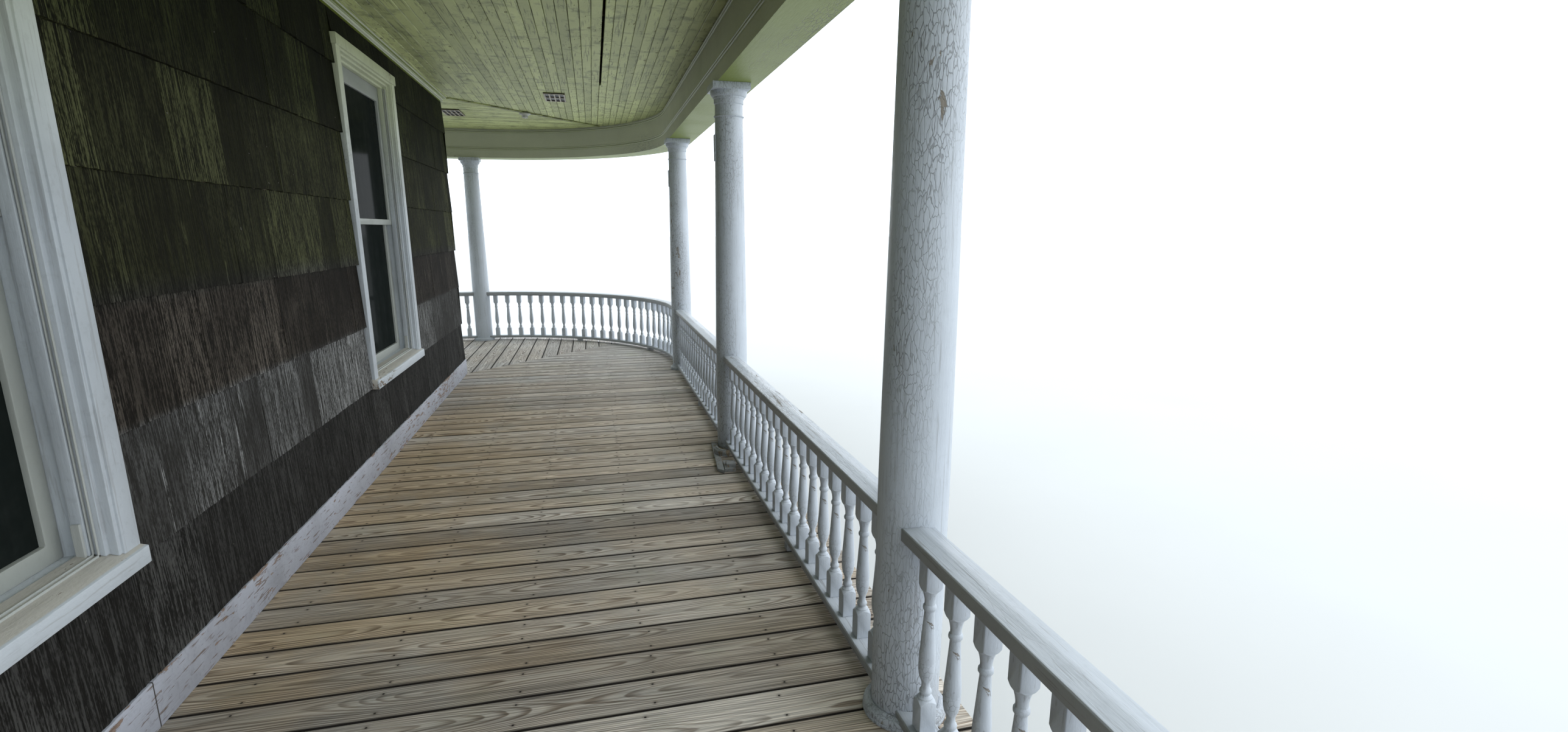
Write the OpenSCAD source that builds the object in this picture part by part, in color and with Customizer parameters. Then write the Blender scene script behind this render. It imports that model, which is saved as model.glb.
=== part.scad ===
// Corner of a wraparound front porch, with the two house walls that it stands against.
// X runs out from the side wall, Y runs out from the front wall and Z is up from the ground.
// The origin is the foot of the house's outer corner. All sizes are in millimetres.

/* [Plan] */
// Side wall face to the line of the side columns
side_depth = 2145; // [1800:5:3000]
// Front wall face to the line of the front columns
front_depth = 2375; // [1800:10:3000]
// Radius of the column line round the outer corner
corner_r = 2270; // [1500:10:2270]
// Column spacing along the straight sides
bay = 2790; // [2200:10:3600]
// Bays along the side of the house
side_bays = 3; // [2:1:5]
// Bays along the front of the house
front_bays = 1; // [1:1:4]
// Distance that the side's corner column stands before the curve begins
corner_col_in = 315; // [160:5:600]
// Floor, walls and roof past the end columns
end_over = 170; // [160:10:400]

/* [Floor] */
// Top of the floor above the ground
deck_h = 520; // [380:10:900]
// Thickness of the floor boards
board_t = 28; // [20:1:40]
// Depth of the floor joists
joist_h = 140; // [100:5:160]
// Thickness of joists and girders
joist_t = 42; // [36:1:60]
// Most that two floor joists are apart
joist_gap = 500; // [300:10:600]
// Depth of the girders that cross under the joists
girder_h = 140; // [100:5:160]
// Column line to the face of the rim board
rim_out = 150; // [145:5:220]
// Thickness of the rim board
rim_t = 22; // [18:1:30]
// How far the floor boards overhang the rim
deck_nose = 25; // [10:1:50]
// Side of a square pier
pier_w = 230; // [190:5:280]

/* [Columns] */
// Shaft diameter at the foot
shaft_d = 200; // [160:1:230]
// Shaft diameter under the capital
neck_d = 172; // [140:1:200]
// Share of the shaft that is straight before it tapers
straight_share = 0.36; // [0.33:0.01:0.5]
// Diameter of the round moulding at the foot
foot_ring_d = 250; // [240:2:280]
// Height of the round moulding at the foot
foot_ring_h = 38; // [30:1:60]
// Width of the long loose plank at the broken base
plank_w = 38; // [30:1:60]
// Length of that plank
plank_l = 600; // [400:10:700]
// Thickness of the loose planks
plank_t = 20; // [12:1:25]
// Side of the square abacus
abacus_w = 230; // [220:1:280]
// Height of the abacus
abacus_h = 38; // [30:1:60]
// Height of the round echinus under the abacus
echinus_h = 36; // [25:1:60]
// Height of the smooth band between echinus and neck ring
neck_band_h = 118; // [80:2:160]

/* [Balustrade] */
// How far the balustrade's middle stands in from the column line
rail_in = 20; // [0:1:30]
// Top of the top rail above the floor
rail_h = 628; // [560:1:950]
// Width of the top rail
rail_w = 94; // [80:1:140]
// Height of the top rail with the strip under it
rail_t = 53; // [40:1:70]
// Height of the strip under the top rail
rail_strip = 8; // [4:1:12]
// Fall of the top rail from its middle to its edges
rail_fall = 9; // [4:1:14]
// Width of the bottom rail
foot_rail_w = 88; // [70:1:120]
// Height of the bottom rail
foot_rail_t = 28; // [22:1:60]
// Gap between the floor and the bottom rail
foot_gap = 30; // [24:1:60]
// Most that two balusters are apart, centre to centre
baluster_pitch = 146; // [120:1:200]
// Side of the square blocks on a baluster
block_w = 48; // [40:1:55]
// Height of the lower square block of a baluster
low_block_h = 100; // [60:1:120]
// Height of the upper square block of a baluster
top_block_h = 97; // [60:1:120]
// Largest diameter of a baluster's vase
vase_d = 46; // [36:1:55]

/* [Beam and ceiling] */
// Underside of the beam above the floor
soffit_h = 2275; // [2000:5:2700]
// Height of the beam's inner face, from its underside up to the ceiling
beam_face = 335; // [250:5:500]
// Width of the cased beam
beam_w = 168; // [150:2:220]
// Thickness of the beam's casing boards
casing_t = 20; // [16:1:30]
// Width of the flat moulding along the beam's outer foot
strip_w = 86; // [50:2:140]
// Thickness of the ceiling boards
ceiling_t = 18; // [12:1:25]
// Radius of the beads on the beam and along the walls
bead_r = 8; // [5:0.5:12]
// Underside of the beam to its lower pair of beads
low_bead_up = 108; // [60:2:140]
// Width and height of the moulding between wall and ceiling
crown_w = 50; // [40:1:90]
// Width of the batten over the ceiling's mitre
batten_w = 46; // [30:1:70]
// Thickness of that batten
batten_t = 12; // [8:1:20]

/* [House walls] */
// Thickness of a wall without its shingles
wall_t = 150; // [120:5:250]
// Thickness of the foundation wall
footing_t = 220; // [180:5:350]
// Height of the foundation wall
footing_h = 400; // [300:10:430]
// Height of the base board above the floor
base_h = 146; // [100:1:220]
// Thickness of the base board
base_t = 24; // [18:1:35]
// Height that each course of shingles shows
course_h = 356; // [200:1:400]
// Thickness of a shingle's butt
butt_t = 20; // [12:1:23]

/* [Windows] */
// Width between the outer strips of a window
win_w = 1050; // [700:10:1200]
// Top of the sill, at the sashes, above the floor
win_foot = 573; // [420:1:900]
// Head of the window above the underside of the beam
head_rise = 100; // [-300:1:130]
// House corner to the middle of the nearer side window
win_near = 2400; // [1400:10:3000]
// Spacing of the side windows
win_gap = 3480; // [2400:5:3900]
// Width of a window's outer strip
strip_face = 70; // [50:1:110]
// How far the outer strip stands off the wall
strip_out = 32; // [26:1:45]
// Height of the board over a window
cap_t = 58; // [30:1:90]
// How far that board stands past the outer strip
cap_out = 8; // [4:1:40]
// Depth of one of the three steps into a window
reveal_step = 28; // [20:1:36]
// Width of one of the three steps into a window
reveal_in = 13; // [8:1:20]
// Width of a sash's frame
sash_w = 52; // [35:1:70]
// Height of the upper sash's top rail
sash_top = 100; // [50:1:120]
// Thickness of a sash
sash_t = 32; // [25:1:34]
// Height of the meeting rail between the two sashes
meet_h = 36; // [25:1:60]
// How far the jamb behind the steps laps over a sash
sash_lap = 12; // [6:1:16]
// Thickness of a pane
pane_t = 4; // [3:0.5:8]
// Height of a sill's front edge
sill_t = 50; // [35:1:70]
// Fall of a sill from the sashes to its front edge
sill_fall = 31; // [10:1:45]
// How far a sill stands off the wall
sill_out = 50; // [46:1:90]
// How far a sill runs past the outer strips
sill_horn = 2; // [2:1:60]

/* [Roof] */
// Column line to the roof's edge
eave_out = 400; // [250:10:600]
// Top of the beam above the ceiling
loft_h = 60; // [40:5:200]
// Rise of the roof from the column line to the walls
roof_rise = 440; // [250:10:900]
// Thickness of the roof's boards and covering
roof_t = 45; // [30:1:80]
// Depth of a rafter
rafter_h = 110; // [80:5:140]
// Thickness of a rafter
rafter_t = 40; // [36:1:60]
// Most that two rafters are apart
rafter_gap = 610; // [400:10:700]
// Share of the corner's radius at which its rafters begin
fan_share = 0.3; // [0.25:0.01:0.5]
// Height of the fascia board at the eave
fascia_h = 150; // [120:5:220]

/* [Fittings] */
// Width of a ceiling vent
vent_w = 185; // [120:5:260]
// Length of a ceiling vent
vent_l = 400; // [200:5:500]
// Depth of a ceiling vent's frame
vent_t = 12; // [8:1:20]
// Width of a ceiling vent's bars
vent_bar = 12; // [8:1:16]
// Side vent's middle, out from the side wall, as a share of that side's depth
vent_side_share = 0.48; // [0.3:0.005:0.6]
// Side vent's middle, back from the house corner
vent_side_y = 250; // [250:10:800]
// Front vent's middle, back from the house corner
vent_front_x = 50; // [0:10:800]
// Front vent's middle, out from the front wall, as a share of that side's depth
vent_front_share = 0.405; // [0.3:0.005:0.6]
// Share of the mitre's length at which the lamp base hangs
lamp_share = 0.45; // [0.3:0.01:0.6]
// Diameter of the round lamp base
lamp_d = 115; // [80:1:160]
// Height of the cleat on a column
cleat_h = 155; // [100:5:220]
// Width of the cleat on a column
cleat_w = 40; // [20:1:60]
// How far the cleat stands off the line of the shaft's neck
cleat_t = 8; // [6:1:14]
// Top of the cleat below the beam
cleat_down = 290; // [200:5:400]

/* [Hidden] */

$fn = 64;
slip = 0.3;
sash_gap = 1;
big = 3 * (side_depth + front_depth + bay * (side_bays + front_bays));
paint = [0.78, 0.81, 0.86];
green_paint = [0.52, 0.56, 0.42];
bare_wood = [0.56, 0.52, 0.45];
frame_wood = [0.62, 0.52, 0.40];
dark_shingle = [0.19, 0.18, 0.15];

// Plan: the corner's centre, the columns and the two open ends
cx = side_depth - corner_r;
cy = front_depth - corner_r;
side_col_y = [for (i = [0 : side_bays]) cy - corner_col_in - bay * i];
front_col_x = [for (i = [0 : front_bays]) cx - bay * i];
y_end = side_col_y[side_bays] - end_over;
x_end = front_col_x[front_bays] - end_over;
columns = concat([for (y = side_col_y) [side_depth, y]], [for (x = front_col_x) [x, front_depth]]);
broken_col = columns[1];
cleat_cols = [columns[0], columns[1]];
mitre_a = atan2(front_depth, side_depth);

// Heights above the ground
deck_under = deck_h - board_t;
joist_under = deck_under - joist_h;
girder_under = joist_under - girder_h;
soffit_z = deck_h + soffit_h;
ceiling_z = soffit_z + beam_face;
rail_top = deck_h + rail_h;
rail_under = rail_top - rail_t;
rail_r = corner_r - rail_in;
foot_under = deck_h + foot_gap;
foot_top = foot_under + foot_rail_t;
header_top = ceiling_z + loft_h;
roof_z0 = header_top + rafter_h + roof_rise;
roof_slope = roof_rise / corner_r;
wall_foot = footing_h;
crown_foot = ceiling_z - crown_w;
base_top = deck_h + base_h;
win_foot_z = deck_h + win_foot;
win_head_z = soffit_z + head_rise;

// Half widths about the column line
deck_edge = rim_out + deck_nose;
beam_half = beam_w / 2;
header_half = beam_half - casing_t;

// A column's heights above the floor
cap_foot = soffit_h - abacus_h - echinus_h - neck_band_h;
taper_from = cap_foot * straight_share;

// Windows: middle of each, the hole in the wall and the sashes
side_windows = [-win_near, -win_near - win_gap];
front_window = x_end / 2;
sash_face = strip_out - 3 * reveal_step;
strip_w_all = win_w + 2 * strip_face;
jamb_lap = 24;
hole_w = strip_w_all - 2 * jamb_lap;
nose_z = win_foot_z - sill_fall;
hole_foot = nose_z - sill_t;
hole_head = win_head_z + jamb_lap;
sash_open = win_w - 6 * reveal_in;
sash_all = sash_open + 2 * sash_lap;
sash_head = win_head_z - 3 * reveal_in + sash_lap;
sash_foot = win_foot_z - 6;
sash_mid = (sash_foot + sash_head) / 2;
pane_w = sash_all - 2 * sash_w;
upper_x = sash_face - sash_t;
lower_x = upper_x - sash_t - sash_gap;

function roof_under(d) = roof_z0 - roof_slope * max(d, 0);
function spread(span, most) = max(1, ceil(span / most));

// Distance from the house corner, along the mitre, to a circle about the corner's centre
function mitre_reach(r) =
    let (b = -cx * cos(mitre_a) - cy * sin(mitre_a)) sqrt(b * b - cx * cx - cy * cy + r * r) - b;

// Sweeps of a profile whose first axis is the distance out from the corner's centre
module along_side(y0, y1) {
    translate([cx, y1, 0]) rotate([90, 0, 0]) linear_extrude(y1 - y0) children();
}

module along_front(x0, x1) {
    translate([x0, cy, 0]) rotate([90, 0, 90]) linear_extrude(x1 - x0) children();
}

module round_corner() {
    translate([cx, cy, 0]) rotate_extrude(angle = 90, $fn = 128) children();
}

module whole_sweep() {
    along_side(y_end, cy) children();
    round_corner() children();
    along_front(x_end, cx) children();
}

// Plan of the porch out to a distance from the corner's centre, without the house
module porch_plan(r) {
    difference() {
        union() {
            translate([cx, y_end]) square([r, cy - y_end]);
            translate([x_end, y_end]) square([cx - x_end, cy + r - y_end]);
            translate([cx, cy]) intersection() {
                circle(r, $fn = 128);
                square(r);
            }
        }
        translate([-big, -big]) square(big);
    }
}

module front_of_mitre() {
    polygon([[0, 0], [big * cos(mitre_a), big * sin(mitre_a)], [-big, big * sin(mitre_a)], [-big, 0]]);
}

module side_plan(r) {
    difference() {
        porch_plan(r);
        front_of_mitre();
    }
}

module front_plan(r) {
    intersection() {
        porch_plan(r);
        front_of_mitre();
    }
}

// House
module foundation() {
    color([0.55, 0.54, 0.50]) linear_extrude(footing_h) {
        translate([-footing_t, y_end]) square([footing_t, -y_end]);
        translate([x_end, -footing_t]) square([-x_end, footing_t]);
    }
}

module wall_profile(d_in) {
    d_out = d_in + wall_t;
    polygon([[d_in, wall_foot], [d_out, wall_foot], [d_out, roof_under(d_out)],
             if (d_out > 0 && d_in < 0) [0, roof_under(0)], [d_in, roof_under(d_in)]]);
}

// A block that fills a window's hole, with the wall's face at x = 0
module window_hole(mid, w, foot, head) {
    translate([-wall_t - 1, mid - w / 2, foot]) cube([wall_t + butt_t + 80, w, head - foot]);
}

// The shingles stop at the strips, the sill and the board over the window
module window_clearance(mid) {
    window_hole(mid, strip_w_all, nose_z, win_head_z + cap_t);
    window_hole(mid, strip_w_all + 2 * sill_horn, hole_foot, win_foot_z);
    window_hole(mid, strip_w_all + 2 * cap_out, win_head_z, win_head_z + cap_t);
}

module at_front() {
    mirror([1, -1, 0]) children();
}

module wall_side() {
    color(frame_wood) difference() {
        along_side(y_end, 0) wall_profile(-cx - wall_t);
        for (mid = side_windows) window_hole(mid, hole_w, hole_foot, hole_head);
    }
}

module wall_front() {
    color(frame_wood) difference() {
        along_front(x_end, -wall_t) wall_profile(-cy - wall_t);
        at_front() window_hole(front_window, hole_w, hole_foot, hole_head);
    }
}

// Lapped courses: each is a wedge, thin at its head and thick at its butt
module course_profile(face) {
    for (i = [0 : ceil((crown_foot - base_top) / course_h) - 1]) {
        foot = base_top + i * course_h;
        head = min(foot + course_h, crown_foot);
        thin = butt_t * (1 - 0.75 * (head - foot) / course_h);
        polygon([[face, foot], [face + butt_t, foot], [face + thin, head], [face, head]]);
    }
}

module shingles_side() {
    color(dark_shingle) difference() {
        along_side(y_end, 0) course_profile(-cx);
        for (mid = side_windows) window_clearance(mid);
    }
}

module shingles_front() {
    color(dark_shingle) difference() {
        union() {
            along_front(x_end, 0) course_profile(-cy);
            intersection() {
                along_front(0, butt_t) course_profile(-cy);
                along_side(0, butt_t) course_profile(-cx);
            }
        }
        at_front() window_clearance(front_window);
    }
}

module base_board() {
    color(paint) translate([0, 0, deck_h]) linear_extrude(base_h) difference() {
        translate([x_end, y_end]) square([base_t - x_end, base_t - y_end]);
        translate([-big, -big]) square(big);
    }
}

// Moulding between wall and ceiling: a cove between two beads
module crown_profile(face) {
    difference() {
        union() {
            translate([face, crown_foot]) square([2 * bead_r, crown_w]);
            translate([face, ceiling_z - 2 * bead_r]) square([crown_w - bead_r, 2 * bead_r]);
            translate([face, crown_foot + bead_r]) square([crown_w * 0.62, crown_w - bead_r]);
            translate([face + 2 * bead_r, crown_foot + bead_r]) circle(bead_r, $fn = 24);
            translate([face + crown_w - bead_r, ceiling_z - bead_r]) circle(bead_r, $fn = 24);
        }
        translate([face + crown_w * 0.72, crown_foot + crown_w * 0.28]) circle(crown_w * 0.3, $fn = 32);
    }
}

module crown_moulding() {
    color(green_paint) {
        along_side(y_end, 0) crown_profile(-cx);
        along_front(x_end, 0) crown_profile(-cy);
        intersection() {
            along_front(0, crown_w) crown_profile(-cy);
            along_side(0, crown_w) crown_profile(-cx);
        }
    }
}

// Windows, drawn on the side wall and mirrored onto the front wall
module each_window() {
    for (mid = side_windows) translate([0, mid, 0]) children();
    at_front() translate([0, front_window, 0]) children();
}

module ring_block(x0, x1, w_out, w_in, foot_out, foot_in, head_out, head_in) {
    translate([x0, 0, 0]) rotate([90, 0, 90]) linear_extrude(x1 - x0) difference() {
        translate([-w_out / 2, foot_out]) square([w_out, head_out - foot_out]);
        translate([-w_in / 2, foot_in]) square([w_in, head_in - foot_in]);
    }
}

// A profile in x and z, drawn across a window
module across(w) {
    translate([0, w / 2, 0]) rotate([90, 0, 0]) linear_extrude(w) children();
}

module sill_solid() {
    fall = sill_fall * sash_face / (sash_face - sill_out);
    across(hole_w) polygon([[sash_face, hole_foot], [0, hole_foot], [0, win_foot_z - sill_fall * sash_face
        / (sash_face - sill_out)], [sash_face, win_foot_z]]);
    across(strip_w_all + 2 * sill_horn) polygon([[0, hole_foot], [sill_out, hole_foot], [sill_out, nose_z],
        [0, win_foot_z - fall]]);
}

// Strips on the wall, a plain board over them and three steps in to the sashes
module window_casing() {
    difference() {
        union() {
            ring_block(0, strip_out, strip_w_all, win_w, hole_foot, hole_foot - 1, win_head_z + 1, win_head_z);
            for (i = [0 : 2]) ring_block(strip_out - reveal_step * (i + 1), strip_out - reveal_step * i - (i == 0 ? 6 : 0),
                hole_w, win_w - 2 * reveal_in * (i + 1), hole_foot, hole_foot - 1,
                hole_head, win_head_z - reveal_in * (i + 1));
            ring_block(-wall_t, sash_face, hole_w, sash_all, hole_foot, sash_foot, hole_head, sash_head);
            translate([0, -strip_w_all / 2 - cap_out, win_head_z])
                cube([strip_out + cap_out, strip_w_all + 2 * cap_out, cap_t]);
        }
        sill_solid();
    }
}

module window_casings() {
    color(paint) each_window() window_casing();
}

module sash(x0, foot, head, foot_h, top_h) {
    ring_block(x0, x0 + sash_t, sash_all - 2 * slip, pane_w, foot, foot + foot_h, head, head - top_h);
}

module window_sashes() {
    color(paint) each_window() {
        sash(upper_x, sash_mid - meet_h / 2, sash_head, meet_h, sash_top);
        sash(lower_x, sash_foot, sash_mid + meet_h / 2, sash_w, meet_h);
    }
}

module pane(x0, foot, head) {
    translate([x0 + (sash_t - pane_t) / 2, -pane_w / 2, foot]) cube([pane_t, pane_w, head - foot]);
}

module window_glass() {
    color([0.16, 0.18, 0.18, 0.6]) each_window() {
        pane(upper_x, sash_mid + meet_h / 2, sash_head - sash_top);
        pane(lower_x, sash_foot + sash_w, sash_mid - meet_h / 2);
    }
}

module window_sills() {
    color([0.74, 0.70, 0.60]) each_window() sill_solid();
}

// Floor
module deck_side() {
    color(bare_wood) translate([0, 0, deck_under]) linear_extrude(board_t) side_plan(corner_r + deck_edge);
}

module deck_front() {
    color(bare_wood) translate([0, 0, deck_under]) linear_extrude(board_t) front_plan(corner_r + deck_edge);
}

module rim_board() {
    color(paint) whole_sweep()
        translate([corner_r + rim_out - rim_t, joist_under]) square([rim_t, joist_h]);
}

module joists() {
    inner_r = corner_r + rim_out - rim_t;
    n_side = spread(side_depth + rim_out, joist_gap);
    n_front = spread(front_depth + rim_out, joist_gap);
    color(frame_wood) translate([0, 0, joist_under]) linear_extrude(joist_h) {
        intersection() {
            side_plan(inner_r);
            for (i = [0 : n_side - 1])
                translate([i * (side_depth + rim_out - rim_t) / n_side, y_end]) square([joist_t, big]);
        }
        intersection() {
            front_plan(inner_r);
            for (i = [0 : n_front - 1])
                translate([x_end, i * (front_depth + rim_out - rim_t) / n_front]) square([big, joist_t]);
        }
    }
}

module girders() {
    reach = corner_r + rim_out - rim_t;
    color(frame_wood) translate([0, 0, girder_under]) linear_extrude(girder_h) {
        for (y = side_col_y) translate([0, y - joist_t / 2]) square([cx + reach, joist_t]);
        for (x = front_col_x) translate([x - joist_t / 2, 0]) square([joist_t, cy + reach]);
        rotate(mitre_a) translate([joist_t * 1.5, -joist_t / 2])
            square([mitre_reach(reach) - joist_t * 1.5, joist_t]);
    }
}

module pier_at(p) {
    translate([p[0] - pier_w / 2, p[1] - pier_w / 2, 0]) cube([pier_w, pier_w, girder_under]);
}

module piers() {
    color([0.55, 0.54, 0.50]) {
        for (p = columns) pier_at(p);
        pier_at(mitre_reach(corner_r - pier_w / 3) * [cos(mitre_a), sin(mitre_a)]);
    }
}

// Columns
module at_columns(list = columns) {
    for (p = list) translate([p[0], p[1], deck_h]) children();
}

module shaft_solid(grow) {
    r = shaft_d / 2 + grow;
    n = neck_d / 2 + grow;
    rotate_extrude() polygon([[0, 0], [r, 0], [r, taper_from], [n, cap_foot], [0, cap_foot]]);
}

module column_shafts() {
    color(paint) at_columns() shaft_solid(0);
}

module column_capitals() {
    n = neck_d / 2;
    e = abacus_w / 2 - 3;
    top = soffit_h - abacus_h;
    color(paint) at_columns() {
        rotate_extrude() polygon([
            [0, cap_foot], [n + 2, cap_foot], [n + 9, cap_foot + 6], [n + 2, cap_foot + 12],
            [n, cap_foot + 14], [n - 1, top - echinus_h - 42], [n + 5, top - echinus_h - 38],
            [n + 5, top - echinus_h - 12], [n + 10, top - echinus_h - 8], [n + 10, top - echinus_h],
            for (a = [0 : 15 : 90]) [n + 10 + (e - n - 10) * sin(a), top - echinus_h + echinus_h * (1 - cos(a)) * 0.8],
            [e, top], [0, top]]);
        translate([-abacus_w / 2, -abacus_w / 2, top]) cube([abacus_w, abacus_w, abacus_h]);
    }
}

// Moulding round a column's foot: a roll on a plain fillet, with a small fillet above
module foot_ring_profile() {
    inside = shaft_d / 2 + slip;
    w = foot_ring_d / 2 - inside;
    points = [[0, 0], [1, 0], [1, 0.22], [0.86, 0.26], [0.92, 0.36], [0.94, 0.5], [0.9, 0.64], [0.78, 0.76],
              [0.6, 0.82], [0.45, 0.84], [0.4, 0.9], [0.38, 1], [0, 1]];
    polygon([for (p = points) [inside + w * p[0], foot_ring_h * p[1]]]);
}

module column_bases() {
    color(paint) at_columns([for (p = columns) if (p != broken_col) p]) rotate_extrude() foot_ring_profile();
}

// The broken base: the back of the ring still stands, and a sprung piece lies on loose planks
module broken_base() {
    side = plank_w + 4;
    color(paint) at_columns([broken_col]) {
        rotate([0, 0, -20]) rotate_extrude(angle = 145) foot_ring_profile();
        translate([-foot_ring_d / 2 - 15, plank_w, 0]) rotate(-5) mirror([0, 1, 0]) {
            linear_extrude(plank_t) polygon([[0, 0], [plank_w, 0], [plank_w, plank_l], [0, plank_l - plank_w]]);
            translate([side, plank_l * 0.68, 0]) cube([plank_w * 1.7, plank_l * 0.28, plank_t]);
            translate([side + 12, plank_l * 0.8, plank_t]) cube([plank_w * 1.5, plank_l * 0.11, plank_t]);
        }
        translate([-shaft_d / 8, -shaft_d, plank_t + slip]) rotate([0, 0, 172]) rotate_extrude(angle = 72)
            translate([shaft_d * 0.06, 0]) foot_ring_profile();
    }
}

module column_cleats() {
    color(paint) at_columns(cleat_cols) difference() {
        translate([-neck_d / 2 - cleat_t, -cleat_w / 2, soffit_h - cleat_down - cleat_h])
            cube([neck_d / 2, cleat_w, cleat_h]);
        shaft_solid(slip);
    }
}

// Balustrade profiles: a low gabled rail on a narrower strip, and a plain foot rail
module top_rail_profile() {
    h = rail_w / 2;
    joint = rail_under + rail_strip;
    translate([rail_r, 0]) polygon([
        [-h + 8, rail_under], [-h + 8, joint], [-h, joint], [-h, rail_top - rail_fall - 2],
        [-h + 3, rail_top - rail_fall + 1], [0, rail_top], [h - 3, rail_top - rail_fall + 1],
        [h, rail_top - rail_fall - 2], [h, joint], [h - 8, joint], [h - 8, rail_under]]);
}

module foot_rail_profile() {
    h = foot_rail_w / 2;
    translate([rail_r, 0]) polygon([
        [-h, foot_under], [-h, foot_top - 4], [-h + 4, foot_top], [h - 4, foot_top],
        [h, foot_top - 4], [h, foot_under]]);
}

module less_columns() {
    difference() {
        children();
        for (p = columns) translate([p[0], p[1], deck_h]) cylinder(rail_h + 50, d = shaft_d + 2 * slip);
        for (p = columns) translate([p[0], p[1], deck_h]) cylinder(foot_ring_h + slip, d = foot_ring_d + 2 * slip);
    }
}

module rail_side() {
    less_columns() along_side(side_col_y[side_bays], side_col_y[0]) children();
}

module rail_front() {
    less_columns() along_front(front_col_x[front_bays], front_col_x[0]) children();
}

module rail_corner() {
    less_columns() {
        along_side(side_col_y[0], cy) children();
        round_corner() children();
    }
}

module top_rail_side() { color(paint) rail_side() top_rail_profile(); }
module top_rail_corner() { color(paint) rail_corner() top_rail_profile(); }
module top_rail_front() { color(paint) rail_front() top_rail_profile(); }
module foot_rail_side() { color(paint) rail_side() foot_rail_profile(); }
module foot_rail_corner() { color(paint) rail_corner() foot_rail_profile(); }
module foot_rail_front() { color(paint) rail_front() foot_rail_profile(); }

// A turned baluster between two square blocks
module baluster() {
    low = foot_top;
    turn_from = low + low_block_h;
    turn_to = rail_under - top_block_h;
    h = turn_to - turn_from;
    v = vase_d / 2;
    b = block_w / 2;
    translate([-b, -b, low]) cube([block_w, block_w, low_block_h]);
    translate([-b, -b, turn_to]) cube([block_w, block_w, top_block_h]);
    translate([0, 0, turn_from]) rotate_extrude($fn = 32) polygon([
        [0, 0], [b - 3, 0], [b - 8, h * 0.045], [b - 7, h * 0.07], [v * 0.5, h * 0.11], [v * 0.5, h * 0.135],
        [v * 0.85, h * 0.22], [v * 0.98, h * 0.3], [v, h * 0.345], [v * 0.96, h * 0.42], [v * 0.6, h * 0.825],
        [v * 0.72, h * 0.84], [v * 0.72, h * 0.865], [v * 0.6, h * 0.88], [v * 0.66, h * 0.92],
        [b - 5, h * 0.95], [b - 3, h], [0, h]]);
}

bay_clear = bay - shaft_d;
bay_n = spread(bay_clear, baluster_pitch);
corner_len = corner_col_in + rail_r * PI / 2;
corner_n = spread(corner_len - shaft_d, baluster_pitch);
corner_gap = (corner_len - shaft_d) / corner_n;

// A place along the corner's rail, by its distance from the side's corner column
module at_corner_path(s) {
    turn = max(0, (s - corner_col_in) / rail_r * 180 / PI);
    translate([cx, cy, 0]) rotate(turn) translate([rail_r, min(0, s - corner_col_in), 0]) children();
}

module balusters_side() {
    color(paint) for (i = [0 : side_bays - 1], k = [0 : bay_n - 1])
        translate([cx + rail_r, side_col_y[i] - shaft_d / 2 - (k + 0.5) * bay_clear / bay_n, 0]) baluster();
}

module balusters_corner() {
    color(paint) for (k = [0 : corner_n - 1])
        at_corner_path(shaft_d / 2 + (k + 0.5) * corner_gap) baluster();
}

module balusters_front() {
    color(paint) for (i = [0 : front_bays - 1], k = [0 : bay_n - 1])
        translate([front_col_x[i] - shaft_d / 2 - (k + 0.5) * bay_clear / bay_n, cy + rail_r, 0]) baluster();
}

module rail_block() {
    translate([-foot_rail_w / 2 - 4, -22, deck_h]) cube([foot_rail_w * 0.8, 44, foot_gap]);
}

module rail_blocks() {
    color(paint) {
        for (i = [0 : side_bays - 1]) translate([cx + rail_r, side_col_y[i] - bay * 0.59, 0]) rail_block();
        for (i = [0 : front_bays - 1]) translate([front_col_x[i] - bay * 0.59, cy + rail_r, 0]) rotate(90) rail_block();
        for (k = [1 : 2]) at_corner_path(corner_len * k / 3) rail_block();
    }
}

// Beam: boards round a header, beads on the inner face and a flat strip at the outer foot
module bead_pair(z) {
    for (k = [-1, 1]) translate([corner_r - beam_half, z + k * 1.15 * bead_r]) circle(bead_r, $fn = 16);
}

module beam_profile() {
    translate([corner_r, 0]) difference() {
        translate([-beam_half, soffit_z]) square([beam_w, header_top - soffit_z]);
        translate([-header_half, soffit_z + casing_t]) square([2 * header_half, big]);
    }
    bead_pair(soffit_z + low_bead_up);
    bead_pair(ceiling_z - 3.2 * bead_r);
    translate([corner_r + beam_half, soffit_z]) polygon([
        [0, 0], [strip_w, 0], [strip_w, 18], [strip_w - 8, 26], [30, 34], [20, 60], [20, 74], [0, 80]]);
}

module beam_side() { color(green_paint) along_side(y_end, cy) beam_profile(); }
module beam_corner() { color(green_paint) round_corner() beam_profile(); }
module beam_front() { color(green_paint) along_front(x_end, cx) beam_profile(); }

module beam_header() {
    color(frame_wood) whole_sweep() translate([corner_r - header_half, soffit_z + casing_t])
        square([2 * header_half, header_top - soffit_z - casing_t]);
}

// Ceiling
module ceiling_side() {
    color(green_paint) translate([0, 0, ceiling_z]) linear_extrude(ceiling_t) side_plan(corner_r - beam_half);
}

module ceiling_front() {
    color(green_paint) translate([0, 0, ceiling_z]) linear_extrude(ceiling_t) front_plan(corner_r - beam_half);
}

module ceiling_batten() {
    from = crown_w * 1.8;
    reach = mitre_reach(corner_r - beam_half) - batten_w / 2 - 2 * bead_r;
    color(green_paint) rotate(mitre_a) translate([from, -batten_w / 2, ceiling_z - batten_t])
        cube([reach - from, batten_w, batten_t]);
}

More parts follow.
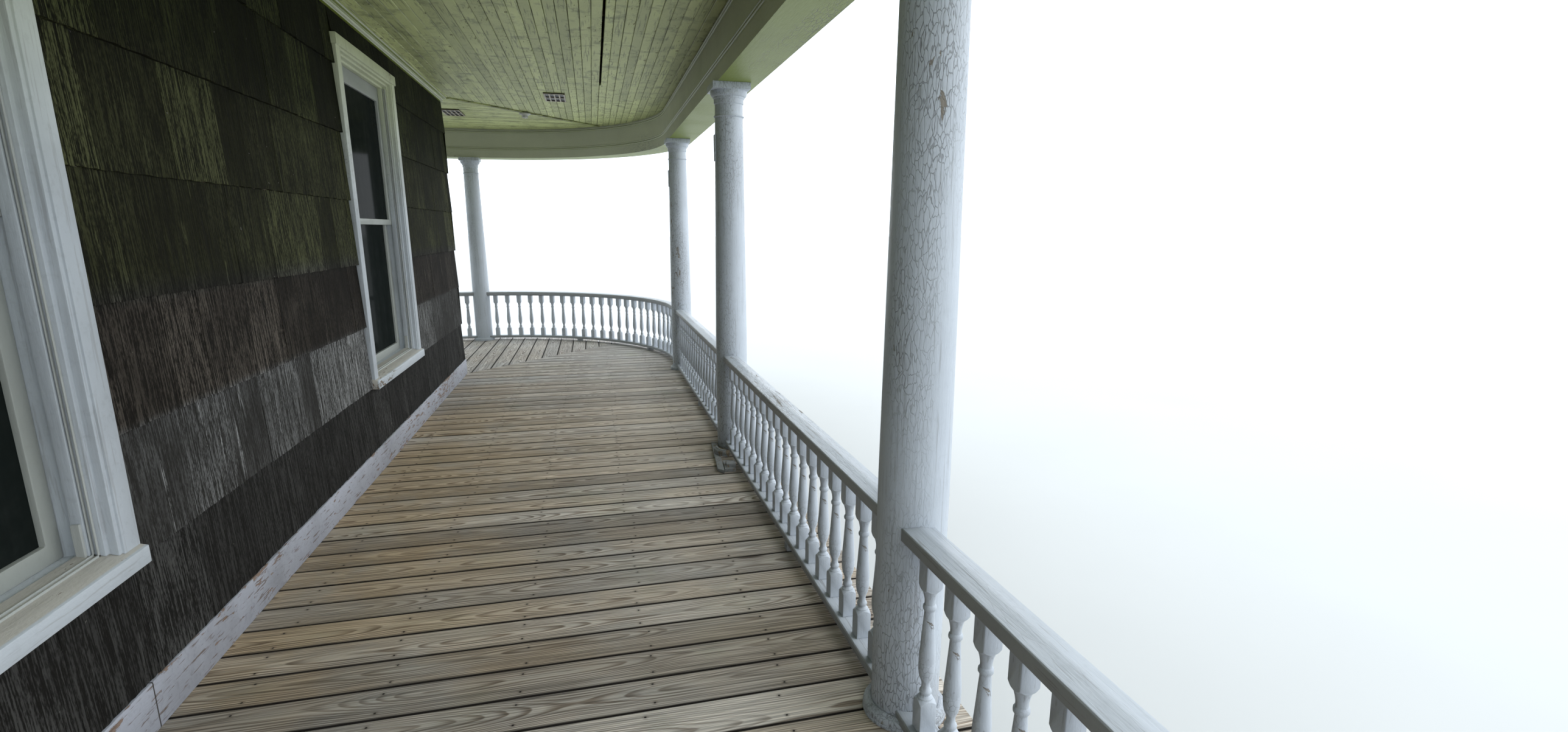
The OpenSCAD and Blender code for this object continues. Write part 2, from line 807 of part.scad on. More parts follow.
module vent(x, y) {
    across_n = 4;
    along_n = 2;
    step_w = (vent_w - vent_bar) / across_n;
    step_l = (vent_l - vent_bar) / along_n;
    translate([x - vent_w / 2, y - vent_l / 2, ceiling_z - vent_t]) difference() {
        cube([vent_w, vent_l, vent_t]);
        for (i = [0 : across_n - 1], k = [0 : along_n - 1])
            translate([vent_bar + i * step_w, vent_bar + k * step_l, -vent_t])
                cube([step_w - vent_bar, step_l - vent_bar, vent_t * 1.8]);
    }
}

module ceiling_vents() {
    color([0.30, 0.22, 0.17]) {
        vent(side_depth * vent_side_share, -vent_side_y);
        vent(-vent_front_x, front_depth * vent_front_share);
    }
}

module lamp_base() {
    along = mitre_reach(corner_r) * lamp_share;
    color([0.72, 0.73, 0.68]) rotate(mitre_a) translate([along, 0, ceiling_z - batten_t]) mirror([0, 0, 1])
        rotate_extrude() polygon([[0, 0], [lamp_d / 2, 0], [lamp_d / 2, 8], [lamp_d / 2 - 6, 14],
            [lamp_d * 0.28, 22], [lamp_d * 0.25, 44], [lamp_d * 0.20, 48], [0, 48]]);
}

// Roof
module rafter_profile(d_in, d_out) {
    difference() {
        polygon([[d_in, roof_under(d_in)], [d_out, roof_under(d_out)],
                 [d_out, roof_under(d_out) - rafter_h], [d_in, roof_under(d_in) - rafter_h]]);
        translate([corner_r - beam_half, header_top - big]) square([beam_w, big]);
    }
}

module rafters() {
    d_out = corner_r + eave_out - rim_t - slip;
    n_side = spread(cy - y_end - rafter_t, rafter_gap);
    n_front = spread(cx - x_end - rafter_t, rafter_gap);
    n_corner = spread(corner_r * PI / 2, rafter_gap);
    color(frame_wood) {
        for (i = [0 : n_side]) {
            y = y_end + i * (cy - y_end - rafter_t) / n_side;
            along_side(y, y + rafter_t) rafter_profile(y + rafter_t > 0 ? butt_t - cx : -cx, d_out);
        }
        for (i = [0 : n_front]) {
            x = x_end + i * (cx - x_end - rafter_t) / n_front;
            along_front(x, x + rafter_t) rafter_profile(-cy, d_out);
        }
        for (i = [1 : n_corner - 1]) translate([cx, cy, 0]) rotate(i * 90 / n_corner)
            translate([0, rafter_t / 2, 0]) rotate([90, 0, 0]) linear_extrude(rafter_t)
                rafter_profile(corner_r * fan_share, d_out);
    }
}

module roof_profile(d_in) {
    d_out = corner_r + eave_out + 20;
    polygon([if (d_in < 0) [d_in, roof_z0], [0, roof_z0], [d_out, roof_under(d_out)],
             [d_out, roof_under(d_out) + roof_t], [0, roof_z0 + roof_t], if (d_in < 0) [d_in, roof_z0 + roof_t]]);
}

module roof_side() { color([0.33, 0.32, 0.31]) along_side(y_end, cy) roof_profile(min(0, -wall_t - cx)); }
module roof_corner() { color([0.33, 0.32, 0.31]) round_corner() roof_profile(0); }
module roof_front() { color([0.33, 0.32, 0.31]) along_front(x_end, cx) roof_profile(min(0, -wall_t - cy)); }

module eave_fascia() {
    d = corner_r + eave_out - rim_t;
    color(paint) whole_sweep() polygon([[d, roof_under(d)], [d + rim_t, roof_under(d + rim_t)],
        [d + rim_t, roof_under(d) - fascia_h], [d, roof_under(d) - fascia_h]]);
}

// Boards that close the roof space at the two open ends, between wall and beam
module end_panel_profile(d_in) {
    d_out = corner_r - beam_half;
    polygon([[d_in, ceiling_z + ceiling_t], [d_out, ceiling_z + ceiling_t],
             [d_out, roof_under(d_out) - rafter_h], [d_in, roof_under(d_in) - rafter_h]]);
}

module end_panels() {
    color(paint) {
        along_side(y_end, y_end + rim_t) end_panel_profile(-cx);
        along_front(x_end, x_end + rim_t) end_panel_profile(-cy);
    }
}

foundation();
wall_side();
wall_front();
shingles_side();
shingles_front();
base_board();
crown_moulding();
window_casings();
window_sashes();
window_glass();
window_sills();
deck_side();
deck_front();
joists();
girders();
rim_board();
piers();
column_shafts();
column_capitals();
column_bases();
broken_base();
column_cleats();
top_rail_side();
top_rail_corner();
top_rail_front();
foot_rail_side();
foot_rail_corner();
foot_rail_front();
rail_blocks();
balusters_side();
balusters_corner();
balusters_front();
beam_side();
beam_corner();
beam_front();
beam_header();
ceiling_side();
ceiling_front();
ceiling_batten();
ceiling_vents();
lamp_base();
rafters();
roof_side();
roof_corner();
roof_front();
eave_fascia();
end_panels();
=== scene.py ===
"""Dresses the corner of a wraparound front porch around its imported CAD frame."""
import math
import random

import bmesh
import bpy
import numpy as np
from bpy.props import FloatProperty, FloatVectorProperty, PointerProperty
from mathutils import Matrix, Vector


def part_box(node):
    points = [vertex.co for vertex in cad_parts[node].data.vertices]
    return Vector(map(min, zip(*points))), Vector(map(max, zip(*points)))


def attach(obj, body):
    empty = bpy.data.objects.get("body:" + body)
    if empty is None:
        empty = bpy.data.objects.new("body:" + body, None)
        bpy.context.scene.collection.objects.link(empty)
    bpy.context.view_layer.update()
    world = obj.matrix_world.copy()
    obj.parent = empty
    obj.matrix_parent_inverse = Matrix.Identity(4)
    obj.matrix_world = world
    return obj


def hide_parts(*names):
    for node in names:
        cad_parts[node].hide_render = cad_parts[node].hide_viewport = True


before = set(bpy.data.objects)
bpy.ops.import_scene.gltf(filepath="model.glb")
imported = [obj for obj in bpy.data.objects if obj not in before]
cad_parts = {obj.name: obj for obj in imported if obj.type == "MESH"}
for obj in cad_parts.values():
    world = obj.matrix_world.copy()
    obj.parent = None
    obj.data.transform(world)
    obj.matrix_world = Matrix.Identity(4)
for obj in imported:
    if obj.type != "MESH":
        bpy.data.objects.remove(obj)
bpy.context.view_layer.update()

bl_info = {
    "name": "Wraparound Porch Corner",
    "version": (1, 0, 0),
    "blender": (4, 5, 0),
    "location": "3D View > Sidebar > Porch",
    "description": "Boards, shingles, turned balusters and old paint for a porch frame",
    "category": "Add Mesh",
}


def points(node):
    """Where a CAD node's points lie."""
    return [v.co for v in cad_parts[node].data.vertices]


# The frame's own lines, in metres
CENTRE_X, CENTRE_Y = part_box("roof_corner")[0].xy
CORNER_R = sum(corner.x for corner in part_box("top_rail_side")) / 2 - CENTRE_X
END_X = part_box("wall_front")[0].x
END_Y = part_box("wall_side")[0].y
WALL_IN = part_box("wall_side")[0].x
FLOOR_UNDER, FLOOR_TOP = (corner.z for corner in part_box("deck_side"))
CEILING_Z, CEILING_TOP = (corner.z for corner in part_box("ceiling_side"))
BASE_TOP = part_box("base_board")[1].z
CROWN_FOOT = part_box("crown_moulding")[0].z
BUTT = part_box("shingles_side")[1].x
BUTT_FEET = [at.z for at in points("shingles_side") if at.x > BUTT - 0.0005]
COURSE = min(z for z in BUTT_FEET if z > BASE_TOP + 0.1) - BASE_TOP
SILL_FOOT, SILL_TOP = (corner.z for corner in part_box("window_sills"))
CAP_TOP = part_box("window_casings")[1].z
STRIPS = [at.x for at in points("window_casings") if at.x < -0.4 and at.z < 2.0]
STRIP_HALF = (max(STRIPS) - min(STRIPS)) / 2
WINDOW_REACH = 1.9 * STRIP_HALF
ROOF_TOP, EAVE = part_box("roof_side")[1].z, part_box("roof_side")[1].x
ROOF_EDGE = max(at.z for at in points("roof_side") if at.x > EAVE - 0.001)
ROOF_FALL = (ROOF_TOP - ROOF_EDGE) / (EAVE - CENTRE_X)
PIER_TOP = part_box("piers")[1].z
FOOTING_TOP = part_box("foundation")[1].z
FOOTING_IN = min(at.x for at in points("foundation") if at.y < END_Y + 0.001)
SIDES = ("side", "corner", "front")

# Mortar joint
MORTAR = 0.010
# The sill's fall for each metre out, and where it starts
SILL_SLOPE, SILL_START = 0.31, -0.052
# Inner edges of the screen tracks' two ribs
RIBS = (-0.0215, -0.0105)
# The base board's end joint, along the wall
BASE_JOINT = -5.338
# The ceiling board that stands apart: its row, start and end
GAP_X, GAP_START, GAP_END = 1.45, -3.3, -0.9
# Spacing of the rows of nails
NAIL_ROWS = 0.41

# Swaps X and Y
SWAP = Matrix(((0, 1, 0, 0), (1, 0, 0, 0), (0, 0, 1, 0), (0, 0, 0, 1)))


# Sizes and colours
def length(name, default, least, most, text):
    return FloatProperty(name=name, unit="LENGTH", default=default, min=least, max=most, description=text)


def angle(name, degrees, text):
    return FloatProperty(name=name, subtype="ANGLE", default=math.radians(degrees), description=text)


def colour(name, value, text):
    return FloatVectorProperty(name=name, subtype="COLOR", size=3, min=0.0, max=1.0, default=value,
                               description=text)


class PorchSizes(bpy.types.PropertyGroup):
    """Sizes of the boards, shingles and bricks."""
    floor_pitch: length("Floor board pitch", 0.157, 0.08, 0.25, "Width of a floor board with its gap")
    floor_gap: length("Floor gap", 0.0075, 0.001, 0.015, "Gap between two floor boards")
    ceiling_pitch: length("Ceiling board pitch", 0.0645, 0.05, 0.15, "Width that a ceiling board shows")
    course: length("Shingle course", COURSE, 0.1, 0.5, "Height that a course of wall shingles shows")
    shingle_least: length("Narrowest shingle", 0.15, 0.08, 0.3, "Least width of a wall shingle")
    shingle_most: length("Widest shingle", 0.40, 0.2, 0.6, "Greatest width of a wall shingle")
    lining_pitch: length("Lining board pitch", 0.145, 0.08, 0.3, "Width of an inner wall board")
    tab_exposure: length("Roof tab height", 0.142, 0.08, 0.25, "Height that a course of roof tabs shows")
    tab_width: length("Roof tab width", 0.305, 0.15, 0.5, "Width of a roof tab")
    block_length: length("Foundation block", 0.396, 0.2, 0.6, "Length of a foundation block with its joint")


class PorchColours(bpy.types.PropertyGroup):
    """Colours of the paints and of the bare materials."""
    white: colour("White paint", (0.505, 0.55, 0.61), "Columns, rails and balusters")
    trim: colour("Trim paint", (0.53, 0.575, 0.63), "Casings, base board, rim and fascia")
    green: colour("Green paint", (0.46, 0.48, 0.37), "Beam and mouldings")
    # The beam's paint with painted greenish bounce light, for its underside
    soffit_bounce_light: colour("Soffit paint", (0.225, 0.28, 0.045), "The beam's underside")
    ceiling: colour("Ceiling paint", (0.57, 0.62, 0.285), "Ceiling boards")
    bare: colour("Bare wood", (0.13, 0.10, 0.07), "Old wood under flaked paint")
    bare_grey: colour("Weathered wood", (0.155, 0.14, 0.12), "Old wood of columns and rails")
    floor: colour("Floor boards", (0.455, 0.42, 0.375), "Weathered floor boards")
    floor_warm: colour("Fresh floor wood", (0.47, 0.345, 0.205), "Floor boards where rain seldom reaches")
    shingle: colour("Shingle", (0.011, 0.010, 0.0085), "Stained wall shingles")
    shingle_pale: colour("Worn shingle", (0.18, 0.175, 0.165), "Wall shingles worn grey")
    sill: colour("Sill", (0.56, 0.54, 0.50), "Worn window sills")
    sash: colour("Sash paint", (0.36, 0.38, 0.36), "Window sashes")
    glass: colour("Window glass", (0.010, 0.013, 0.012), "Panes before a dark room")
    framing: colour("Framing wood", (0.36, 0.27, 0.17), "Joists, girders, header and rafters")
    lining: colour("Lining boards", (0.42, 0.34, 0.24), "Boards on the walls' inner faces")
    block: colour("Blocks", (0.34, 0.33, 0.30), "Foundation blocks")
    brick: colour("Brick", (0.30, 0.13, 0.08), "Piers")
    mortar: colour("Mortar", (0.42, 0.40, 0.36), "Joints between blocks and bricks")
    roof: colour("Roof tabs", (0.085, 0.082, 0.080), "Roof shingles")
    flashing: colour("Flashing", (0.19, 0.19, 0.185), "Metal strip at the head of the roof")
    vent: colour("Vent", (0.38, 0.34, 0.27), "Painted steel ceiling vents")
    lamp: colour("Lamp base", (0.50, 0.51, 0.46), "Glazed lamp base")


class PorchView(bpy.types.PropertyGroup):
    """Place and lens of the camera, and the studio's light."""
    place: FloatVectorProperty(name="Camera place", subtype="TRANSLATION", unit="LENGTH", size=3,
                               default=(1.3011, -7.5441, 1.9353), description="Where the camera stands")
    heading: angle("Heading", 14.794, "Turn of the view from the wall's direction out to the open side")
    tilt: angle("Tilt", -12.111, "Tilt of the view up from level")
    roll: angle("Roll", 0.233, "Turn of the picture about the view's own line")
    lens: FloatProperty(name="Lens", subtype="DISTANCE_CAMERA", default=16.361, min=8, max=100,
                        description="Focal length on a 36 mm wide sensor")
    rise: FloatProperty(name="Upward shift", default=0.01083, min=-0.5, max=0.5,
                        description="Upward shift of the picture, as a share of its width")
    sky: FloatProperty(name="Studio light", default=1.81, min=0, max=5,
                       description="Strength of the even light from all round")
    side_light: FloatProperty(name="Side light", default=0.95, min=0, max=10,
                              description="Strength of the soft lamps on the open sides")


# Selecting and shaping
def leave_edit():
    if bpy.context.object and bpy.context.object.mode != "OBJECT":
        bpy.ops.object.mode_set(mode="OBJECT")


def only(*pieces):
    """Selects these pieces alone, the first one active."""
    leave_edit()
    bpy.ops.object.select_all(action="DESELECT")
    for piece in pieces:
        piece.select_set(True)
    bpy.context.view_layer.objects.active = pieces[0]


def edit(piece, everything=False):
    only(piece)
    bpy.ops.object.mode_set(mode="EDIT")
    if everything:
        bpy.ops.mesh.select_all(action="SELECT")


def pick(piece, kind, wanted):
    """Selects, in edit mode, the edges or vertices that the test wants."""
    bpy.ops.mesh.select_mode(type=kind)
    bpy.ops.mesh.select_all(action="DESELECT")
    mesh = bmesh.from_edit_mesh(piece.data)
    for part in mesh.edges if kind == "EDGE" else mesh.verts:
        if wanted(part):
            part.select_set(True)
    bmesh.update_edit_mesh(piece.data)


def edge_along(edge, axis):
    """Whether an edge runs along an axis, 0 for X, 1 for Y and 2 for Z."""
    line = edge.verts[1].co - edge.verts[0].co
    return abs(line[axis]) > 0.98 * line.length


def block(name, low, high):
    """A cube primitive between two corners, with its place in its mesh."""
    low, high = Vector(low), Vector(high)
    bpy.ops.object.select_all(action="DESELECT")
    bpy.ops.mesh.primitive_cube_add(size=1, location=(low + high) / 2, scale=high - low)
    piece = bpy.context.object
    piece.name = piece.data.name = name
    bpy.ops.object.transform_apply(location=True, rotation=True, scale=True)
    return piece


def eased(piece, width, wanted=None, segments=2):
    """Bevels a block's edges, all of them or those that the test wants."""
    edit(piece)
    pick(piece, "EDGE", wanted or (lambda edge: True))
    bpy.ops.mesh.bevel(offset=width, segments=segments, affect="EDGES", clamp_overlap=True)
    leave_edit()
    return piece


def shifted(piece, wanted, move):
    """Moves the points that the test wants."""
    edit(piece)
    pick(piece, "VERT", wanted)
    bpy.ops.transform.translate(value=move)
    leave_edit()
    return piece


def plank(name, along, width, thick, ease, under=False):
    """One board along X, with the long edges of its upper or its lower face eased."""
    piece = block(name, (0, -width / 2, -thick), (along, width / 2, 0))
    eased(piece, ease, lambda edge: edge_along(edge, 0) and (edge.verts[0].co.z < -thick / 2) == under,
          1 if under else 2)
    return lay(piece, "x")


def modified(piece, kind, **settings):
    """Adds a modifier, sets it and applies it."""
    only(piece)
    modifier = piece.modifiers.new(kind.title(), kind)
    for name, value in settings.items():
        setattr(modifier, name, value)
    bpy.ops.object.modifier_apply(modifier=modifier.name)
    return piece


def smoothed(piece, degrees=32):
    only(piece)
    bpy.ops.object.shade_smooth_by_angle(angle=math.radians(degrees))
    return piece


def made_of(name, data):
    """An object with this data, in the scene."""
    piece = bpy.data.objects.new(name, data)
    bpy.context.scene.collection.objects.link(piece)
    return piece


def traced(name, node):
    """A welded copy of a CAD node's mesh."""
    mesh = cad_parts[node].data.copy()
    mesh.materials.clear()
    piece = made_of(name, mesh)
    edit(piece, True)
    bpy.ops.mesh.remove_doubles(threshold=0.00004)
    bpy.ops.mesh.dissolve_limited(angle_limit=math.radians(0.6))
    leave_edit()
    bpy.ops.mesh.customdata_custom_splitnormals_clear()
    return piece


def spun(name, profile):
    """A closed solid turned about the Z axis, from pairs of radius and height."""
    mesh = bpy.data.meshes.new(name)
    edges = [(i, i + 1) for i in range(len(profile) - 1)]
    mesh.from_pydata([(radius, 0, z) for radius, z in profile], edges, [])
    piece = made_of(name, mesh)
    edit(piece, True)
    bpy.ops.mesh.spin(steps=16, angle=2 * math.pi, center=(0, 0, 0), axis=(0, 0, 1))
    bpy.ops.mesh.select_all(action="SELECT")
    bpy.ops.mesh.remove_doubles(threshold=0.00005)
    for level in (profile[0][1], profile[-1][1]):
        pick(piece, "VERT", lambda v: abs(v.co.z - level) < 1e-6)
        bpy.ops.mesh.edge_face_add()
    bpy.ops.mesh.select_all(action="SELECT")
    bpy.ops.mesh.normals_make_consistent(inside=False)
    leave_edit()
    return piece


def copied(piece, name, place):
    """A copy with its own mesh, moved by a matrix or a vector."""
    twin = made_of(name, piece.data.copy())
    twin.data.transform(place if isinstance(place, Matrix) else Matrix.Translation(place))
    return twin


def joined(name, pieces):
    only(*pieces)
    if len(pieces) > 1:
        bpy.ops.object.join()
    piece = bpy.context.object
    piece.name = piece.data.name = name
    return piece


def dropped(*pieces):
    for piece in pieces:
        bpy.data.objects.remove(piece)


def cut(piece, tool):
    """Keeps what a piece shares with another one, which is then removed."""
    modified(piece, "BOOLEAN", object=tool, operation="INTERSECT", solver="EXACT", use_self=False)
    dropped(tool)
    return piece


def read(items, name, wide=1, kind=np.float32):
    """One property of all items, as rows where it is wider than one number."""
    values = np.empty(len(items) * wide, kind)
    items.foreach_get(name, values)
    return values.reshape(-1, wide) if wide > 1 else values


def lay(piece, way, shift=(0, 0, 0)):
    """Writes where each point lies in the wood: along the grain, across it and up.

    The way is x, y or z for straight grain, wall for what follows the two walls,
    and sweep for what follows the rail's line."""
    mesh = piece.data
    at = read(mesh.vertices, "co", 3)[read(mesh.loops, "vertex_index", 1, np.int32)]
    x, y, z = at.T
    if way in "xyz":
        spots = at[:, {"x": (0, 1, 2), "y": (1, 0, 2), "z": (2, 0, 1)}[way]]
    elif way == "wall":
        faces = read(mesh.polygons, "center", 3)
        middle = np.repeat(faces, read(mesh.polygons, "loop_total", 1, np.int32), axis=0)
        side = middle[:, 0] > middle[:, 1]
        spots = np.stack([np.where(side, y, x), np.where(side, x, y), z], axis=1)
    else:
        out_x, out_y = np.maximum(x - CENTRE_X, 0), np.maximum(y - CENTRE_Y, 0)
        turn = np.arctan2(out_y, np.maximum(out_x, 1e-6))
        run = np.minimum(y - CENTRE_Y, 0) + CORNER_R * turn + np.maximum(CENTRE_X - x, 0)
        spots = np.stack([run, np.hypot(out_x, out_y) - CORNER_R, z], axis=1)
    layer = mesh.attributes.get("lay") or mesh.attributes.new("lay", "FLOAT_VECTOR", "CORNER")
    layer.data.foreach_set("vector", (spots + np.array(shift)).astype(np.float32).ravel())
    return piece


def toned(piece, tone):
    """Gives every face one random share, which its material turns into a shade."""
    mesh = piece.data
    layer = mesh.attributes.get("tone") or mesh.attributes.new("tone", "FLOAT", "FACE")
    layer.data.foreach_set("value", np.full(len(mesh.polygons), tone, np.float32))
    return piece


def places(node, reach):
    """Box of each separate solid of a CAD node, in plan. Points closer than the reach belong together."""
    plan = read(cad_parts[node].data.vertices, "co", 3)[:, :2]
    plan = plan[np.unique(np.round(plan, 3), axis=0, return_index=True)[1]]
    left = np.ones(len(plan), bool)
    boxes = []
    while left.any():
        group = [int(np.argmax(left))]
        left[group[0]] = False
        for i in group:
            near = np.nonzero(left & (np.hypot(*(plan - plan[i]).T) < reach))[0]
            left[near] = False
            group.extend(near.tolist())
        own = plan[group]
        boxes.append((Vector(own.min(0).tolist()), Vector(own.max(0).tolist())))
    return boxes


def settled(piece, finish, slot, *nodes):
    """Gives a finished piece its material and body, and hides the nodes that it stands for. The slot is not
    used.
    """
    piece.data.materials.clear()
    piece.data.materials.append(finishes[finish])
    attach(piece, "root")
    if nodes:
        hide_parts(*nodes)
    return piece


def dressed(node, finish, slot, way, ease, segments=2):
    """Stands for a CAD node with its own shape, eased edges and a lay for the paint or grain."""
    piece = traced(node + "_dressed", node)
    if ease:
        modified(piece, "BEVEL", width=ease, segments=segments, limit_method="ANGLE",
                 angle_limit=math.radians(28), use_clamp_overlap=True)
    return settled(lay(smoothed(piece), way), finish, slot, node)


def swapped(side, place):
    """A place on the side wall, or its like on the front wall."""
    return place if side else (place[1], place[0], place[2])


# Nodes of a material
class Nodes:
    """Adds nodes to a tree and links them by name."""

    def __init__(self, tree):
        self.tree = tree

    def link(self, socket, value):
        if isinstance(value, bpy.types.NodeSocket):
            self.tree.links.new(value, socket)
        elif value is not None:
            socket.default_value = (*value, 1) if socket.type == "RGBA" and len(value) == 3 else value

    def add(self, kind, settings=None, **inputs):
        node = self.tree.nodes.new("ShaderNode" + kind)
        for name, value in (settings or {}).items():
            setattr(node, name, value)
        for name, value in inputs.items():
            self.link(node.inputs[name], value)
        return node

    def maths(self, way, *values, clamp=False):
        node = self.add("Math", {"operation": way, "use_clamp": clamp})
        for socket, value in zip(node.inputs, values):
            self.link(socket, value)
        return node.outputs[0]

    def times(self, first, second):
        return self.maths("MULTIPLY", first, second)

    def plus(self, first, second):
        return self.maths("ADD", first, second)

    def less(self, first, second):
        return self.maths("SUBTRACT", first, second)

    def most(self, first, second):
        return self.maths("MAXIMUM", first, second)

    def size(self, value):
        return self.maths("ABSOLUTE", value)

    def line(self, value, slope, start):
        """A start, and a value times its slope added to it."""
        return self.maths("MULTIPLY_ADD", value, slope, start)

    def blend(self, *pairs):
        """The sum of values, each times its weight."""
        total = 0.0
        for value, weight in pairs:
            total = self.line(value, weight, total)
        return total

    def away(self, first, second):
        """Distance of a point in a plane from its origin."""
        return self.maths("SQRT", self.plus(self.times(first, first), self.times(second, second)))

    def vector(self, way, first, second):
        node = self.add("VectorMath", {"operation": way})
        self.link(node.inputs[0], first)
        self.link(node.inputs["Scale" if way == "SCALE" else 1], second)
        return node.outputs[0]

    def stretch(self, first, second):
        return self.vector("MULTIPLY", first, second)

    def triple(self, x, y, z):
        return self.add("CombineXYZ", X=x, Y=y, Z=z).outputs[0]

    def split(self, vector):
        return self.add("SeparateXYZ", Vector=vector).outputs

    def mix(self, share, first, second, way="MIX"):
        node = self.add("Mix", {"data_type": "RGBA", "blend_type": way, "clamp_factor": True})
        for socket, value in ((0, share), (6, first), (7, second)):
            self.link(node.inputs[socket], value)
        return node.outputs[2]

    def tint(self, base, by):
        return self.mix(1.0, base, by, "MULTIPLY")

    def span(self, value, low, high, to_low=0.0, to_high=1.0, smooth=True):
        node = self.add("MapRange", {"interpolation_type": "SMOOTHSTEP" if smooth else "LINEAR"})
        for socket, number in zip(node.inputs, (value, low, high, to_low, to_high)):
            self.link(socket, number)
        return node.outputs[0]

    def shade(self, value, strength):
        """A grey about one, for multiplying a colour."""
        return self.span(value, 0.0, 1.0, 1.0 - strength, 1.0 + strength, smooth=False)

    def noise(self, vector, scale, detail=3.0, rough=0.55, twist=0.0):
        return self.add("TexNoise", Vector=vector, Scale=scale, Detail=detail, Roughness=rough,
                        Distortion=twist).outputs[0]

    def streaks(self, vector, scales, detail, rough=0.55):
        """Noise that is drawn out into lines by a scale for each axis."""
        return self.noise(self.stretch(vector, scales), 1.0, detail, rough)

    def cells(self, vector, scale, feature="F1"):
        return self.add("TexVoronoi", {"feature": feature}, Vector=vector, Scale=scale,
                        Randomness=1.0).outputs


def new_group(name, values, results):
    """A group with a vector and these values as its inputs."""
    tree = bpy.data.node_groups.new(name, "ShaderNodeTree")
    tree.interface.new_socket("Vector", in_out="INPUT", socket_type="NodeSocketVector")
    for socket, value in values.items():
        made = tree.interface.new_socket(socket, in_out="INPUT", socket_type="NodeSocketFloat")
        made.default_value = value
    for socket in results:
        tree.interface.new_socket(socket, in_out="OUTPUT", socket_type="NodeSocketFloat")
    return Nodes(tree), tree.nodes.new("NodeGroupInput").outputs, tree.nodes.new("NodeGroupOutput").inputs


def grain_group():
    """Wood grain: fine lines, and a log's rings, which a board's face cuts into long arches."""
    n, given, gives = new_group("Wood grain", {"Lines": 120.0, "Rings": 150.0, "Tone": 0.0},
                                ("Lines", "Arches", "Knots"))
    tone = given["Tone"]
    near = n.times(tone, 11.0)
    at = n.vector("ADD", given["Vector"], n.triple(n.times(tone, 37.0), near, near))
    fine = n.stretch(at, n.triple(3.0, given["Lines"], given["Lines"]))
    n.link(gives["Lines"], n.noise(fine, 1.0, 4.0, 0.6))
    cell = n.cells(n.stretch(at, (1.1, 5.5, 5.5)), 1.0)["Distance"]
    n.link(gives["Knots"], n.span(cell, 0.10, 0.03))
    sway = n.line(n.streaks(at, (0.6, 0.0, 0.0), 1.0, 0.5), 0.10, n.times(tone, 0.06))
    side = n.plus(n.split(given["Vector"])[1], n.less(sway, 0.08))
    run = n.vector("ADD", n.stretch(at, (0.75, 0.0, 0.0)), (31.0, 0.0, 0.0))
    deep = n.line(n.noise(run, 1.0, 2.0, 0.5), 0.22, -0.06)
    ring = n.line(n.streaks(at, (3.2, 24.0, 24.0), 2.0, 0.5), 0.007, n.away(side, deep))
    ring = n.line(n.span(cell, 0.42, 0.0), 0.02, ring)
    wave = n.maths("FRACT", n.times(ring, given["Rings"]))
    n.link(gives["Arches"], n.times(n.span(wave, 0.30, 0.85), n.span(wave, 1.0, 0.88)))
    return n.tree


def flaking_group():
    """Old paint: chips that bare the wood, fine cracks, and the height of the film."""
    n, given, gives = new_group("Flaking paint", {"Size": 30.0, "Chips": 0.2, "Cracks": 0.4, "Long": 0.35},
                                ("Bare", "Crack", "Height", "Stain"))
    at = n.stretch(given["Vector"], n.triple(given["Long"], 1.0, 1.0))
    patch = n.noise(at, 3.1, 3.0, 0.55)
    chip = n.noise(at, given["Size"], 6.0, 0.62, 0.4)
    edge = n.line(given["Chips"], -0.3, 0.74)
    bare = n.span(n.blend((chip, 0.62), (patch, 0.38)), edge, n.plus(edge, 0.012))
    wander = n.add("TexNoise", Vector=at, Scale=n.times(given["Size"], 0.9), Detail=3.0).outputs[1]
    bent = n.vector("ADD", at, n.vector("SCALE", n.vector("SUBTRACT", wander, (0.5, 0.5, 0.5)), 0.03))
    cell = n.cells(bent, n.times(given["Size"], 2.4), "DISTANCE_TO_EDGE")["Distance"]
    where = n.span(patch, n.line(given["Cracks"], -0.3, 0.66), 0.72)
    crack = n.times(n.span(cell, 0.075, 0.01), where)
    mottle = n.noise(at, n.times(given["Size"], 3.0), 3.0, 0.6)
    film = n.less(n.less(1.0, bare), n.times(crack, 0.8))
    n.link(gives["Bare"], bare)
    n.link(gives["Crack"], crack)
    n.link(gives["Height"], n.line(mottle, 0.8, film))
    n.link(gives["Stain"], patch)
    return n.tree


def dirt_group():
    """Dust in uneven patches and specks, and a darker foot above a level: dirt and painted shade where
    things meet the floor.
    """
    n, given, gives = new_group("Dust and damp", {"Level": 0.5, "Reach": 0.3, "Amount": 0.5}, ("Mask",))
    cloud = n.noise(given["Vector"], 2.3, 5.0, 0.6)
    top = n.plus(given["Level"], n.times(given["Reach"], n.times(cloud, 2.0)))
    # The darker foot near the level is dirt and painted shade together
    foot = n.span(n.split(given["Vector"])[2], top, given["Level"])
    speck = n.span(n.noise(given["Vector"], 46.0, 3.0, 0.6), 0.52, 0.72)
    total = n.blend((n.span(cloud, 0.45, 0.75), 0.5), (foot, 0.6), (speck, 0.25))
    n.link(gives["Mask"], n.maths("MULTIPLY", total, given["Amount"], clamp=True))
    return n.tree


groups = {}
finishes = {}


